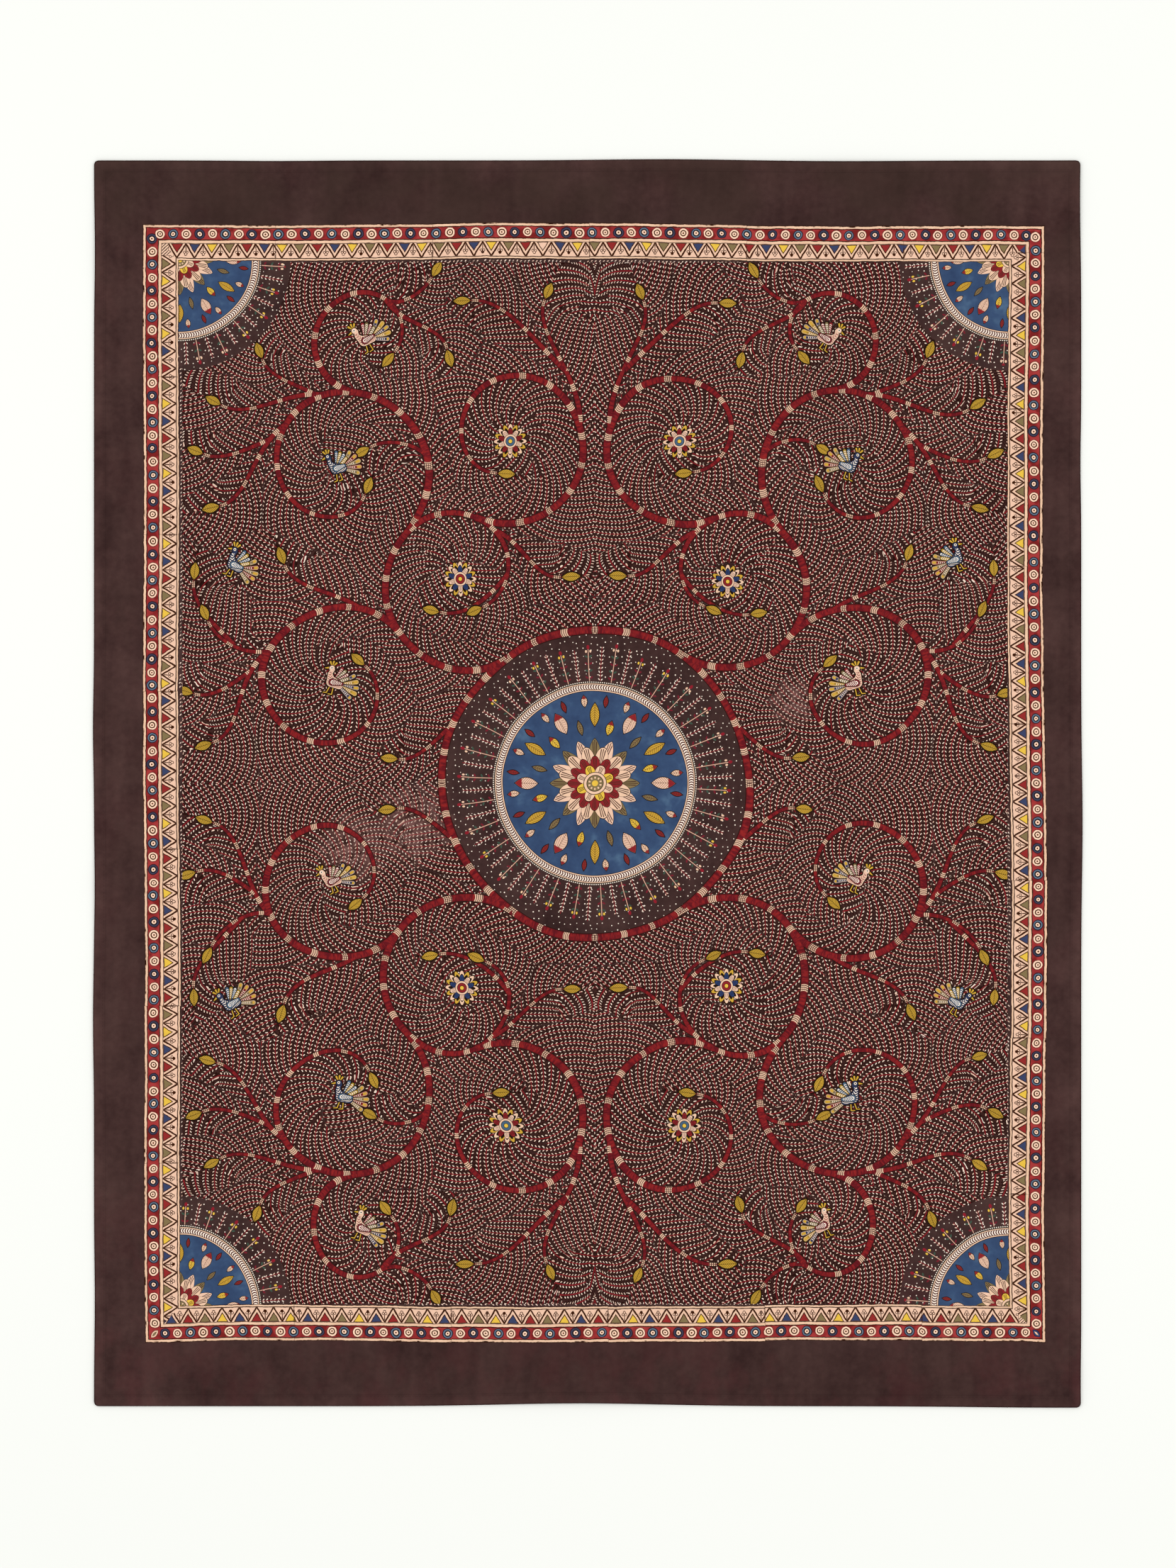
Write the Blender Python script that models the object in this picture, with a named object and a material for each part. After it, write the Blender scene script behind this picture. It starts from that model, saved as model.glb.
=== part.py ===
"""A painted and dyed cotton cloth lying flat: one sheet with a narrow turned hem.

Metres, +Z up. The origin is on the surface the cloth lies on, under the middle of the sheet.
X runs across the cloth and Y along it, with the upper edge of its picture at +Y.

The sheet is a grid of points. It touches the surface over a plain rectangle, and from there
its rim rises a little towards the edges, as the dyed and washed cotton does. The edges wave, in
the plane and off the surface, and each wave is a soft bump whose row stands in EDGE_WAVES. The
grid is denser over the hem, where the extra layers of the fold make the sheet thicker.
"""

import bpy
import numpy as np

# Driving dimensions
WIDTH = 1.450
LENGTH = 1.830
THICKNESS = 0.0014
HEM_WIDTH = 0.016
HEM_EXTRA = 0.0008
HEM_SLOPE = 0.003
CORNER_RADIUS = 0.006
CELL = 0.046

# Soft unevenness of the upper face: height, and the length of one wave across and along
SWELL_HEIGHT = 0.0002
SWELL_ACROSS = 0.52
SWELL_ALONG = 0.71

# The rim lies between the edges and the rectangle that touches the surface. The waves die away
# across it, and its edge stands off the surface by RIM_RISE even where no wave lifts it
RIM_WIDTH = 0.070
RIM_RISE = 0.0005
RIM_CELLS = 2

# How far a lifted wave is drawn along the edge, as a share of its reach
LIFT_SPREAD = 0.75

# One row for each wave of the outline. At is its middle, measured along the side from the
# middle of that side towards +X or +Y. Out is how far the edge bows outwards, lift how far
# the cloth stands off the surface there, and reach half the length of the wave.
EDGE_WAVES = (
    # side, at, out, lift, reach
    ("top", -0.460, -0.0008, 0.0000, 0.080),
    ("top", 0.110, 0.0018, 0.0000, 0.130),
    ("top", 0.380, -0.0013, 0.0018, 0.120),
    ("bottom", -0.010, -0.0045, 0.0024, 0.160),
    ("bottom", 0.690, 0.0022, 0.0000, 0.170),
    ("left", 0.780, -0.0014, 0.0016, 0.070),
    ("left", 0.080, 0.0016, 0.0000, 0.070),
    ("left", -0.150, -0.0011, 0.0014, 0.060),
    ("left", -0.350, 0.0015, 0.0000, 0.080),
    ("left", -0.760, -0.0011, 0.0000, 0.080),
    ("right", 0.860, -0.0019, 0.0015, 0.090),
    ("right", 0.470, -0.0012, 0.0000, 0.060),
    ("right", -0.060, 0.0019, 0.0000, 0.110),
    ("right", -0.880, -0.0010, 0.0012, 0.050),
)

GROUND_COLOUR = (0.052, 0.027, 0.026, 1.0)
GROUND_ROUGHNESS = 0.9


def clear_scene():
    for item in list(bpy.data.objects):
        bpy.data.objects.remove(item, do_unlink=True)


def cotton_material():
    material = bpy.data.materials.new("dyed_cotton")
    material.use_nodes = True
    shader = material.node_tree.nodes["Principled BSDF"]
    shader.inputs["Base Color"].default_value = GROUND_COLOUR
    shader.inputs["Roughness"].default_value = GROUND_ROUGHNESS
    shader.inputs["Metallic"].default_value = 0.0
    return material


def grid_lines(side):
    """Distances of the grid's lines from one edge: close over corner, hem and rim, then even."""
    hem = [0.0, 0.5 * CORNER_RADIUS, CORNER_RADIUS, HEM_WIDTH - HEM_SLOPE]
    near = hem + list(np.linspace(HEM_WIDTH, RIM_WIDTH, RIM_CELLS + 1))
    middle = side - 2.0 * RIM_WIDTH
    cells = 2 * int(np.ceil(middle / CELL / 2.0)) + 1
    inner = RIM_WIDTH + middle * np.arange(1, cells) / cells
    far = [side - line for line in reversed(near)]
    return np.array(near + list(inner) + far)


def rim_share(distance):
    """One at the edge, and nothing where the rim ends."""
    return np.clip(1.0 - distance / RIM_WIDTH, 0.0, 1.0)


def wave_sum(side, along, column, spread=1.0):
    """The waves of one side, each a bell curve of its row's height and reach."""
    total = np.zeros_like(along)
    for name, at, out, lift, reach in EDGE_WAVES:
        height = {"out": out, "lift": lift}[column]
        if name == side:
            total += height * np.exp(-(((along - at) / (spread * reach)) ** 2))
    return total


def round_corners(u, v):
    """Draws the square patch at each corner into a quarter disc about the corner's centre."""
    for far_u in (False, True):
        for far_v in (False, True):
            a = (WIDTH - u if far_u else u) / CORNER_RADIUS
            b = (LENGTH - v if far_v else v) / CORNER_RADIUS
            inside = (a < 1.0) & (b < 1.0)
            across = 1.0 - a[inside]
            along = 1.0 - b[inside]
            shrink = np.maximum(across, along) / np.hypot(across, along)
            new_a = CORNER_RADIUS * (1.0 - across * shrink)
            new_b = CORNER_RADIUS * (1.0 - along * shrink)
            u[inside] = WIDTH - new_a if far_u else new_a
            v[inside] = LENGTH - new_b if far_v else new_b


def sheet_points():
    """Lower and upper points of the sheet, each an array of grid rows, columns and x, y, z."""
    u, v = np.meshgrid(grid_lines(WIDTH), grid_lines(LENGTH))
    from_edge = np.minimum(np.minimum(u, WIDTH - u), np.minimum(v, LENGTH - v))
    sides = {"left": u, "right": WIDTH - u, "bottom": v, "top": LENGTH - v}
    flat_x = u - WIDTH / 2.0
    flat_y = v - LENGTH / 2.0

    lift = RIM_RISE * rim_share(from_edge) ** 2
    bow = {}
    for side, distance in sides.items():
        along = flat_y if side in ("left", "right") else flat_x
        share = rim_share(distance)
        lift += share**2 * wave_sum(side, along, "lift", LIFT_SPREAD)
        bow[side] = share * wave_sum(side, along, "out")

    round_corners(u, v)
    x = u - WIDTH / 2.0 + bow["right"] - bow["left"]
    y = v - LENGTH / 2.0 + bow["top"] - bow["bottom"]

    hem = HEM_EXTRA * np.clip((HEM_WIDTH - from_edge) / HEM_SLOPE, 0.0, 1.0)
    across_wave = np.sin(2.0 * np.pi * flat_x / SWELL_ACROSS)
    along_wave = np.cos(2.0 * np.pi * flat_y / SWELL_ALONG)
    swell = SWELL_HEIGHT * across_wave * along_wave

    x -= 0.5 * (x.min() + x.max())
    y -= 0.5 * (y.min() + y.max())
    lower = np.stack([x, y, lift], axis=-1)
    upper = np.stack([x, y, lift + THICKNESS + hem + swell], axis=-1)
    return lower, upper


def grid_faces(rows, columns, first, upwards):
    """Quads between neighbouring points of one layer, turned to face up or down."""
    index = first + np.arange(rows * columns).reshape(rows, columns)
    near_left = index[:-1, :-1].ravel()
    near_right = index[:-1, 1:].ravel()
    far_right = index[1:, 1:].ravel()
    far_left = index[1:, :-1].ravel()
    quads = np.stack([near_left, near_right, far_right, far_left], axis=1)
    return quads if upwards else quads[:, ::-1]


def rim_faces(rows, columns):
    """Quads that join the edge of the lower layer to the edge of the upper one."""
    index = np.arange(rows * columns).reshape(rows, columns)
    edges = (index[0, :-1], index[:-1, -1], index[-1, :0:-1], index[:0:-1, 0])
    loop = np.concatenate(edges)
    following = np.roll(loop, -1)
    above = rows * columns
    return np.stack([loop, following, following + above, loop + above], axis=1)


def make_cloth(material):
    lower, upper = sheet_points()
    rows, columns, _ = lower.shape
    count = rows * columns
    points = np.concatenate([lower.reshape(-1, 3), upper.reshape(-1, 3)])
    faces = np.concatenate(
        [
            grid_faces(rows, columns, 0, upwards=False),
            grid_faces(rows, columns, count, upwards=True),
            rim_faces(rows, columns),
        ]
    )
    mesh = bpy.data.meshes.new("cloth")
    mesh.from_pydata(points.tolist(), [], faces.tolist())
    mesh.materials.append(material)
    mesh.shade_smooth()
    mesh.set_sharp_from_angle(angle=np.radians(40.0))
    cloth = bpy.data.objects.new("cloth", mesh)
    bpy.context.scene.collection.objects.link(cloth)
    return cloth


clear_scene()
make_cloth(cotton_material())
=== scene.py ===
"""Looks of a painted and dyed cotton cloth, a mata ni pachedi, that lies flat and face up.

Meshes are in metres, in the frame of the solids: X runs across the cloth, Y along it and Z up.
The attributes and materials of the cloth are in millimetres.

The cloth is one closed sheet on a grid. Its design is painted by five materials: the plain
margin, the printed border, the vine with its rows of small leaves, the vine with figures on
it, and the blue roundels. The vine is laid out in one quarter of the field and mirrored into
the other three. Every face of the grid carries its place beside the two nearest stems, the
nearest big leaf and the nearest figure, and the materials draw from those.
"""

import bpy
import numpy as np
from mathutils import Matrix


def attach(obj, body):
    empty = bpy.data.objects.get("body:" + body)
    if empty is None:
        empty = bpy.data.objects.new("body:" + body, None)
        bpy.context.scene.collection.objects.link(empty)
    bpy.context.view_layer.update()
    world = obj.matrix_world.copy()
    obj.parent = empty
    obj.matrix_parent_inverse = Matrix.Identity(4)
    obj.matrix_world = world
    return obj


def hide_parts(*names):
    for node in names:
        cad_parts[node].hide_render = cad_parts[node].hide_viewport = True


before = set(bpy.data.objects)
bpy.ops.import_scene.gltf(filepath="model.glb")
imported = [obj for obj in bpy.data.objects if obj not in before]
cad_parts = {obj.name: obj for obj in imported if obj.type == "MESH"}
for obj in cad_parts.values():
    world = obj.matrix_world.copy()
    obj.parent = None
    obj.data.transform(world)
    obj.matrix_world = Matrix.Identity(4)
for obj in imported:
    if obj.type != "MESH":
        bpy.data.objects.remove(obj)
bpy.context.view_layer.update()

MM = 0.001

# Outline of the cloth, as in the solids
WIDTH = 1.450
LENGTH = 1.830
THICKNESS = 0.0014
HEM_WIDTH = 0.016
HEM_EXTRA = 0.0008
HEM_SLOPE = 0.003
CORNER_RADIUS = 0.006
SWELL_HEIGHT = 0.0002
SWELL_ACROSS = 0.52
SWELL_ALONG = 0.71
RIM_WIDTH = 0.070
RIM_RISE = 0.0005
LIFT_SPREAD = 0.75
EDGE_WAVES = (
    # side, at, out, lift, reach
    ("top", -0.460, -0.0008, 0.0000, 0.080),
    ("top", 0.110, 0.0018, 0.0000, 0.130),
    ("top", 0.380, -0.0013, 0.0018, 0.120),
    ("bottom", -0.010, -0.0045, 0.0024, 0.160),
    ("bottom", 0.690, 0.0022, 0.0000, 0.170),
    ("left", 0.780, -0.0014, 0.0016, 0.070),
    ("left", 0.080, 0.0016, 0.0000, 0.070),
    ("left", -0.150, -0.0011, 0.0014, 0.060),
    ("left", -0.350, 0.0015, 0.0000, 0.080),
    ("left", -0.760, -0.0011, 0.0000, 0.080),
    ("right", 0.860, -0.0019, 0.0015, 0.090),
    ("right", 0.470, -0.0012, 0.0000, 0.060),
    ("right", -0.060, 0.0019, 0.0000, 0.110),
    ("right", -0.880, -0.0010, 0.0012, 0.050),
)

# The edge is a fold, so it bulges a little between the lower and the upper face
FOLD_STEPS = 4
FOLD_BULGE = 0.0007

# Puckers that the hem's stitches pull: height, length of one pucker, how far they reach as a
# share of the hem, and how far and how fast their lengths vary along a side
PUCKER_HEIGHT = 0.00018
PUCKER_LENGTH = 0.034
PUCKER_REACH = 0.8
PUCKER_SHIFT = 1.7
PUCKER_SHIFT_RATE = 9.0

# Widest cells of the grid, in the plain margin and in the design
MARGIN_CELL = 0.014
DESIGN_CELL = 0.0076

# Outer edges of the printed frame and of the field, from the middle of the cloth
FRAME_LEFT = -0.6525
FRAME_RIGHT = 0.6726
FRAME_TOP = 0.8209
FRAME_BOTTOM = -0.8204
FIELD_LEFT = -0.5998
FIELD_RIGHT = 0.6210
FIELD_TOP = 0.7698
FIELD_BOTTOM = -0.7694
DESIGN_SPARE = 0.004

FIELD_X = 0.5 * (FIELD_LEFT + FIELD_RIGHT)
FIELD_Y = 0.5 * (FIELD_BOTTOM + FIELD_TOP)
HALF_W = 0.5 * (FIELD_RIGHT - FIELD_LEFT)
HALF_L = 0.5 * (FIELD_TOP - FIELD_BOTTOM)

# Vine: the ring it springs from, and the roundels in the middle and in the corners
VINE_STEP = 0.003
RING_RADIUS = 0.225
MIDDLE_BLUE = 0.135
CORNER_BLUE = 0.105
CORNER_CLEAR = 0.163
MIDDLE_TRIM = 0.012
CORNER_TRIM = 0.006

SCROLLS = (
    # parent, bearing, radius, turns, inner
    (0, 57.0, 0.132, 0.98, 0.052),
    (1, 318.0, 0.120, 0.98, 0.050),
    (1, 38.0, 0.132, 1.00, 0.052),
    (1, 102.0, 0.122, 1.00, 0.050),
    (3, 104.0, 0.082, 0.80, 0.045),
)
SCROLL_EASE = 1.6

# Shoots fill what the scrolls leave open, widest gap first
GAP_GRID = 0.012
GAP_LEAST = 0.064
FIGURE_PULL = 0.008
EDGE_PULL = 0.045
AXIS_PULL = 0.035
ROOT_SPACING = 0.038
ROOT_BACK = 0.9
SHOOT_LEAN = 25.0
SHOOT_BEND = 40.0
SHOOT_LEAVE = 1.1
SHOOT_ARRIVE = 0.9

# Rows of leaves: how they lean and bend as they leave their stem, the depth at which their
# distance apart is held, the least that a bend may shrink it to there and elsewhere, and how
# many points of a stem on each side of a face's foot its corners may use
ROW_LEAN = 0.70
ROW_BEND = 8.5
ROW_MID_DEPTH = 0.030
ROW_LEAST_RATE = 0.35
ROW_LEAST_SHRINK = 0.2
FOOT_WINDOW = 6

# Added for each stem to distances along it, and for each quarter to the numbers of its marks
STEM_NUMBER_STEP = 0.8
MARK_NUMBER_STEP = 50.0
RING_END = 0.4

# The nearest stems are looked up for this many lots of faces, one after the other
CHUNKS = 24

FIGURE_KINDS = (
    # kind, turn. Kinds 0 and 1 are rosettes, 2 and 3 are birds
    (0.0, 0.0),
    (2.0, 20.0),
    (3.0, -12.0),
    (1.0, 0.0),
    (2.0, -25.0),
    (3.0, 28.0),
)
BIG_LEAF_LENGTH = 0.026
BIG_LEAF_AHEAD = 0.55
FIGURE_RADIUS = 0.038
FAR_AWAY = 9.0

# Slow drift of the drawn design from its true place: height and length of each wave. It dies
# out towards the lines where the quarters meet
STILL_REACH = 0.05
DRIFT = (
    # move across, move along, length across, length along, start
    (0.0040, 0.0025, 0.41, 0.63, 0.4),
    (-0.0022, 0.0038, 0.73, 0.37, 2.1),
    (0.0018, -0.0016, 0.23, 0.29, 4.0),
)


def wave_sum(side, along, column, spread=1.0):
    """The waves of one side, each a bell curve of its row's height and reach."""
    total = np.zeros_like(along)
    for name, at, out, lift, reach in EDGE_WAVES:
        height = {"out": out, "lift": lift}[column]
        if name == side:
            total += height * np.exp(-(((along - at) / (spread * reach)) ** 2))
    return total


def rim_share(distance):
    """One at the edge, and nothing where the rim ends."""
    return np.clip(1.0 - distance / RIM_WIDTH, 0.0, 1.0)


def round_corners(u, v):
    """Draws the square patch at each corner into a quarter disc about the corner's centre."""
    for far_u in (False, True):
        for far_v in (False, True):
            a = (WIDTH - u if far_u else u) / CORNER_RADIUS
            b = (LENGTH - v if far_v else v) / CORNER_RADIUS
            inside = (a < 0.999) & (b < 0.999)
            across = 1.0 - a[inside]
            along = 1.0 - b[inside]
            shrink = np.maximum(across, along) / np.hypot(across, along)
            new_a = CORNER_RADIUS * (1.0 - across * shrink)
            new_b = CORNER_RADIUS * (1.0 - along * shrink)
            u[inside] = WIDTH - new_a if far_u else new_a
            v[inside] = LENGTH - new_b if far_v else new_b


def grid_lines(half, design_low, field_low, middle, field_high, design_high):
    """Lines of the grid along one axis: through every border of a region, and even between."""
    hem = (0.0, 0.5 * CORNER_RADIUS, CORNER_RADIUS, HEM_WIDTH - HEM_SLOPE, HEM_WIDTH)
    breaks = [-half + line for line in hem]
    breaks += [design_low - DESIGN_SPARE, field_low + DESIGN_SPARE, middle]
    breaks += [field_high - DESIGN_SPARE, design_high + DESIGN_SPARE]
    breaks += [half - line for line in reversed(hem)]
    lines = []
    for low, high in zip(breaks[:-1], breaks[1:]):
        plain = high <= design_low or low >= design_high
        cell = MARGIN_CELL if plain else DESIGN_CELL
        cells = int(np.ceil((high - low) / cell - 1e-6))
        lines.extend(np.linspace(low, high, cells + 1)[:-1])
    return np.array(lines + [breaks[-1]])


def sheet_points():
    """Lower and upper points of the sheet, the distance from the edge, and the flat grid.

    The outline bows by the waves of its sides, the rim rises towards the edges, and the upper
    face is higher over the hem, with a slow swell and the hem's puckers on it.
    """
    columns = grid_lines(
        WIDTH / 2.0, FRAME_LEFT, FIELD_LEFT, FIELD_X, FIELD_RIGHT, FRAME_RIGHT
    )
    rows = grid_lines(
        LENGTH / 2.0, FRAME_BOTTOM, FIELD_BOTTOM, FIELD_Y, FIELD_TOP, FRAME_TOP
    )
    flat_x, flat_y = np.meshgrid(columns, rows)
    u = flat_x + WIDTH / 2.0
    v = flat_y + LENGTH / 2.0
    sides = {"left": u, "right": WIDTH - u, "bottom": v, "top": LENGTH - v}
    from_edge = np.minimum.reduce(list(sides.values()))

    lift = RIM_RISE * rim_share(from_edge) ** 2
    bow = {}
    pucker = np.zeros_like(u)
    for number, (side, distance) in enumerate(sides.items()):
        along = flat_y if side in ("left", "right") else flat_x
        share = rim_share(distance)
        lift += share**2 * wave_sum(side, along, "lift", LIFT_SPREAD)
        bow[side] = share * wave_sum(side, along, "out")
        shift = PUCKER_SHIFT * np.sin(PUCKER_SHIFT_RATE * along + number)
        turn = 2.0 * np.pi * along / PUCKER_LENGTH + shift
        depth = np.exp(-(((distance - HEM_WIDTH) / (PUCKER_REACH * HEM_WIDTH)) ** 2))
        pucker += PUCKER_HEIGHT * depth * np.sin(turn)

    hem = HEM_EXTRA * np.clip((HEM_WIDTH - from_edge) / HEM_SLOPE, 0.0, 1.0)
    across_wave = np.sin(2.0 * np.pi * flat_x / SWELL_ACROSS)
    along_wave = np.cos(2.0 * np.pi * flat_y / SWELL_ALONG)
    swell = SWELL_HEIGHT * across_wave * along_wave

    u = u.copy()
    v = v.copy()
    round_corners(u, v)
    x = u - WIDTH / 2.0 + bow["right"] - bow["left"]
    y = v - LENGTH / 2.0 + bow["top"] - bow["bottom"]
    x -= 0.5 * (x.min() + x.max())
    y -= 0.5 * (y.min() + y.max())
    lower = np.stack([x, y, lift], axis=-1)
    upper = np.stack([x, y, lift + THICKNESS + hem + swell + pucker], axis=-1)
    return lower, upper, from_edge, np.stack([flat_x, flat_y], axis=-1)


def grid_faces(rows, columns, first):
    """Quads between neighbouring points of one layer, turned to face up."""
    index = first + np.arange(rows * columns).reshape(rows, columns)
    corners = (index[:-1, :-1], index[:-1, 1:], index[1:, 1:], index[1:, :-1])
    return np.stack([corner.ravel() for corner in corners], axis=1)


def edge_loop(rows, columns):
    """Numbers of the points around one layer, starting at its lowest corner."""
    index = np.arange(rows * columns).reshape(rows, columns)
    edges = (index[0, :-1], index[:-1, -1], index[-1, :0:-1], index[:0:-1, 0])
    return np.concatenate(edges)


def fold_points(lower, upper, loop):
    """Rings of points round the edge between the two faces, on half an ellipse that bulges."""
    low = lower.reshape(-1, 3)[loop]
    high = upper.reshape(-1, 3)[loop]
    along = np.roll(low, -1, axis=0) - np.roll(low, 1, axis=0)
    away = np.stack([along[:, 1], -along[:, 0]], axis=1)
    away /= np.hypot(away[:, 0], away[:, 1])[:, None]
    rings = []
    for step in range(1, FOLD_STEPS):
        turn = np.pi * step / FOLD_STEPS
        ring = low + (high - low) * (0.5 - 0.5 * np.cos(turn))
        ring[:, :2] += FOLD_BULGE * np.sin(turn) * away
        rings.append(ring)
    return rings, away


def fold_faces(rows, columns, loop):
    """Quads of the edge, ring by ring from the lower face to the upper one."""
    count = rows * columns
    rings = [loop]
    for step in range(FOLD_STEPS - 1):
        rings.append(2 * count + step * len(loop) + np.arange(len(loop)))
    rings.append(loop + count)
    faces = []
    for below, above in zip(rings[:-1], rings[1:]):
        faces.append(
            np.stack([below, np.roll(below, -1), np.roll(above, -1), above], axis=1)
        )
    return np.concatenate(faces)


def resample(points):
    """The same line with its points an even step apart."""
    steps = np.hypot(*np.diff(points, axis=0).T)
    along = np.concatenate([[0.0], np.cumsum(steps)])
    count = max(int(along[-1] / VINE_STEP), 4)
    even = np.linspace(0.0, along[-1], count + 1)
    x = np.interp(even, along, points[:, 0])
    y = np.interp(even, along, points[:, 1])
    return np.stack([x, y], axis=1)


def tangents(points):
    """Unit direction of the line at each of its points."""
    along = np.gradient(points, axis=0)
    return along / np.hypot(along[:, 0], along[:, 1])[:, None]


def turned(direction, degrees):
    """A direction turned to the left."""
    angle = np.radians(degrees)
    x, y = direction
    return np.array(
        [x * np.cos(angle) - y * np.sin(angle), x * np.sin(angle) + y * np.cos(angle)]
    )


def at_bearing(stem, centre, side, bearing):
    """Number of the first point of a scroll that stands in this direction from its centre."""
    away = stem - centre
    angle = np.degrees(np.arctan2(away[:, 1], away[:, 0]))
    gone = (side * (angle - angle[0])) % 360.0
    gone[0] = 0.0
    wanted = (side * (bearing - angle[0])) % 360.0
    return int(np.argmax(gone >= wanted))


def scroll(parent, start, radius, side, turns, inner):
    """A stem that leaves its parent smoothly and curls up about a centre beside it.

    Its distance from the centre falls from the radius to the inner one as a power of the share
    of its turn. Side is +1 where it curls to the left and -1 to the right.
    """
    tangent = tangents(parent)[start]
    centre = parent[start] + side * radius * turned(tangent, 90.0)
    away = parent[start] - centre
    first = np.arctan2(away[1], away[0])
    share = np.linspace(0.0, 1.0, 300)
    reach = inner + (radius - inner) * (1.0 - share**SCROLL_EASE)
    angle = first + side * 2.0 * np.pi * turns * share
    spokes = np.stack([np.cos(angle), np.sin(angle)], axis=1)
    return resample(centre + reach[:, None] * spokes), centre


def shoot(stems, roots, tip):
    """A side shoot from the nearest stem to the tip.

    It leaves the stem some way before the point nearest the tip, clear of other roots, and is
    a cubic curve whose ends lean away from the stem and past the tip.
    """
    gaps = [np.hypot(*(stem - tip).T) for stem in stems]
    number = int(np.argmin([gap.min() for gap in gaps]))
    stem = stems[number]
    start = int(np.argmin(gaps[number]) - ROOT_BACK * gaps[number].min() / VINE_STEP)
    start = max(start, 0)
    taken = [root for other, root in roots if other == number]
    spacing = ROOT_SPACING / VINE_STEP
    while start > 0 and any(abs(start - root) < spacing for root in taken):
        start -= 1
    roots.append((number, start))
    root = stem[start]
    tangent = tangents(stem)[start]
    reach = tip - root
    side = np.sign(tangent[0] * reach[1] - tangent[1] * reach[0])
    distance = np.hypot(reach[0], reach[1])
    leave = SHOOT_LEAVE * distance * turned(tangent, side * SHOOT_LEAN)
    arrive = SHOOT_ARRIVE * distance * turned(reach / distance, side * SHOOT_BEND)
    s = np.linspace(0.0, 1.0, 60)[:, None]
    to_root = (2.0 * s**3 - 3.0 * s**2 + 1.0) * root + (s**3 - 2.0 * s**2 + s) * leave
    to_tip = (3.0 * s**2 - 2.0 * s**3) * tip + (s**3 - s**2) * arrive
    return resample(to_root + to_tip)


def openness(grid, stems, figures):
    """How far each place is from the nearest stem, figure, roundel or side of the field."""
    gap = np.full(len(grid), FAR_AWAY)
    for stem in stems:
        away = grid[:, None] - stem[None, ::3]
        gap = np.minimum(gap, np.hypot(away[..., 0], away[..., 1]).min(axis=1))
    for figure in figures:
        gap = np.minimum(gap, np.hypot(*(grid - figure).T) + FIGURE_PULL)
    gap = np.minimum(gap, HALF_W - grid[:, 0] + EDGE_PULL)
    gap = np.minimum(gap, HALF_L - grid[:, 1] + EDGE_PULL)
    gap = np.minimum(gap, grid.min(axis=1) + AXIS_PULL)
    corner = np.hypot(HALF_W - grid[:, 0], HALF_L - grid[:, 1]) - CORNER_CLEAR
    gap = np.minimum(gap, corner + EDGE_PULL)
    closed = (corner < GAP_GRID) | (np.hypot(*grid.T) < RING_RADIUS + GAP_GRID)
    return np.where(closed, 0.0, gap)


def lay_out_vine():
    """Stems of one quarter of the field, ring first, and the places of its figures."""
    angle = np.radians(np.linspace(90.0, 0.0, 200))
    ring = RING_RADIUS * np.stack([np.cos(angle), np.sin(angle)], axis=1)
    stems = [resample(ring)]
    centres = [np.zeros(2)]
    sides = [-1]
    for parent, bearing, radius, turns, inner in SCROLLS:
        start = at_bearing(stems[parent], centres[parent], sides[parent], bearing)
        side = -sides[parent]
        stem, centre = scroll(stems[parent], start, radius, side, turns, inner)
        stems.append(stem)
        centres.append(centre)
        sides.append(side)

    across = np.arange(0.0, HALF_W, GAP_GRID)
    along = np.arange(0.0, HALF_L, GAP_GRID)
    grid = np.stack([axis.ravel() for axis in np.meshgrid(across, along)], axis=1)
    figures = centres[1:]
    figures.append(grid[np.argmax(openness(grid, stems, figures))])
    roots = []
    gap = openness(grid, stems, figures)
    while gap.max() > GAP_LEAST:
        stems.append(shoot(stems, roots, grid[np.argmax(gap)]))
        gap = openness(grid, stems, figures)
    return stems, figures


def stem_table(stems):
    """Every point of every stem, with its direction, bend and distances along the stem.

    Beside the true distance to the tip it holds two others from the root, measured along lines
    that run beside the stem on its left and right, because rows of leaves keep their spacing
    there. Each stem's number is added to these two, so that no two rows are alike.
    """
    names = ("point", "tangent", "bend", "end", "left", "right", "first")
    parts = {name: [] for name in names}
    for number, stem in enumerate(stems):
        tangent = tangents(stem)
        step = np.hypot(*(stem[1] - stem[0]))
        heading = np.unwrap(np.arctan2(tangent[:, 1], tangent[:, 0]))
        bend = np.gradient(heading) / step
        along = step * np.arange(len(stem))
        parts["point"].append(stem)
        parts["tangent"].append(tangent)
        parts["bend"].append(bend)
        parts["end"].append(along[-1] - along if number else RING_END + along)
        for name, sign in (("left", 1.0), ("right", -1.0)):
            rate = np.maximum(1.0 - sign * bend * ROW_MID_DEPTH, ROW_LEAST_RATE)
            run = np.concatenate([[0.0], np.cumsum(0.5 * step * (rate[1:] + rate[:-1]))])
            parts[name].append(run + number * STEM_NUMBER_STEP)
        start = np.zeros(len(stem), dtype=bool)
        start[0] = True
        parts["first"].append(start)
    return {name: np.concatenate(values) for name, values in parts.items()}


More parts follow.
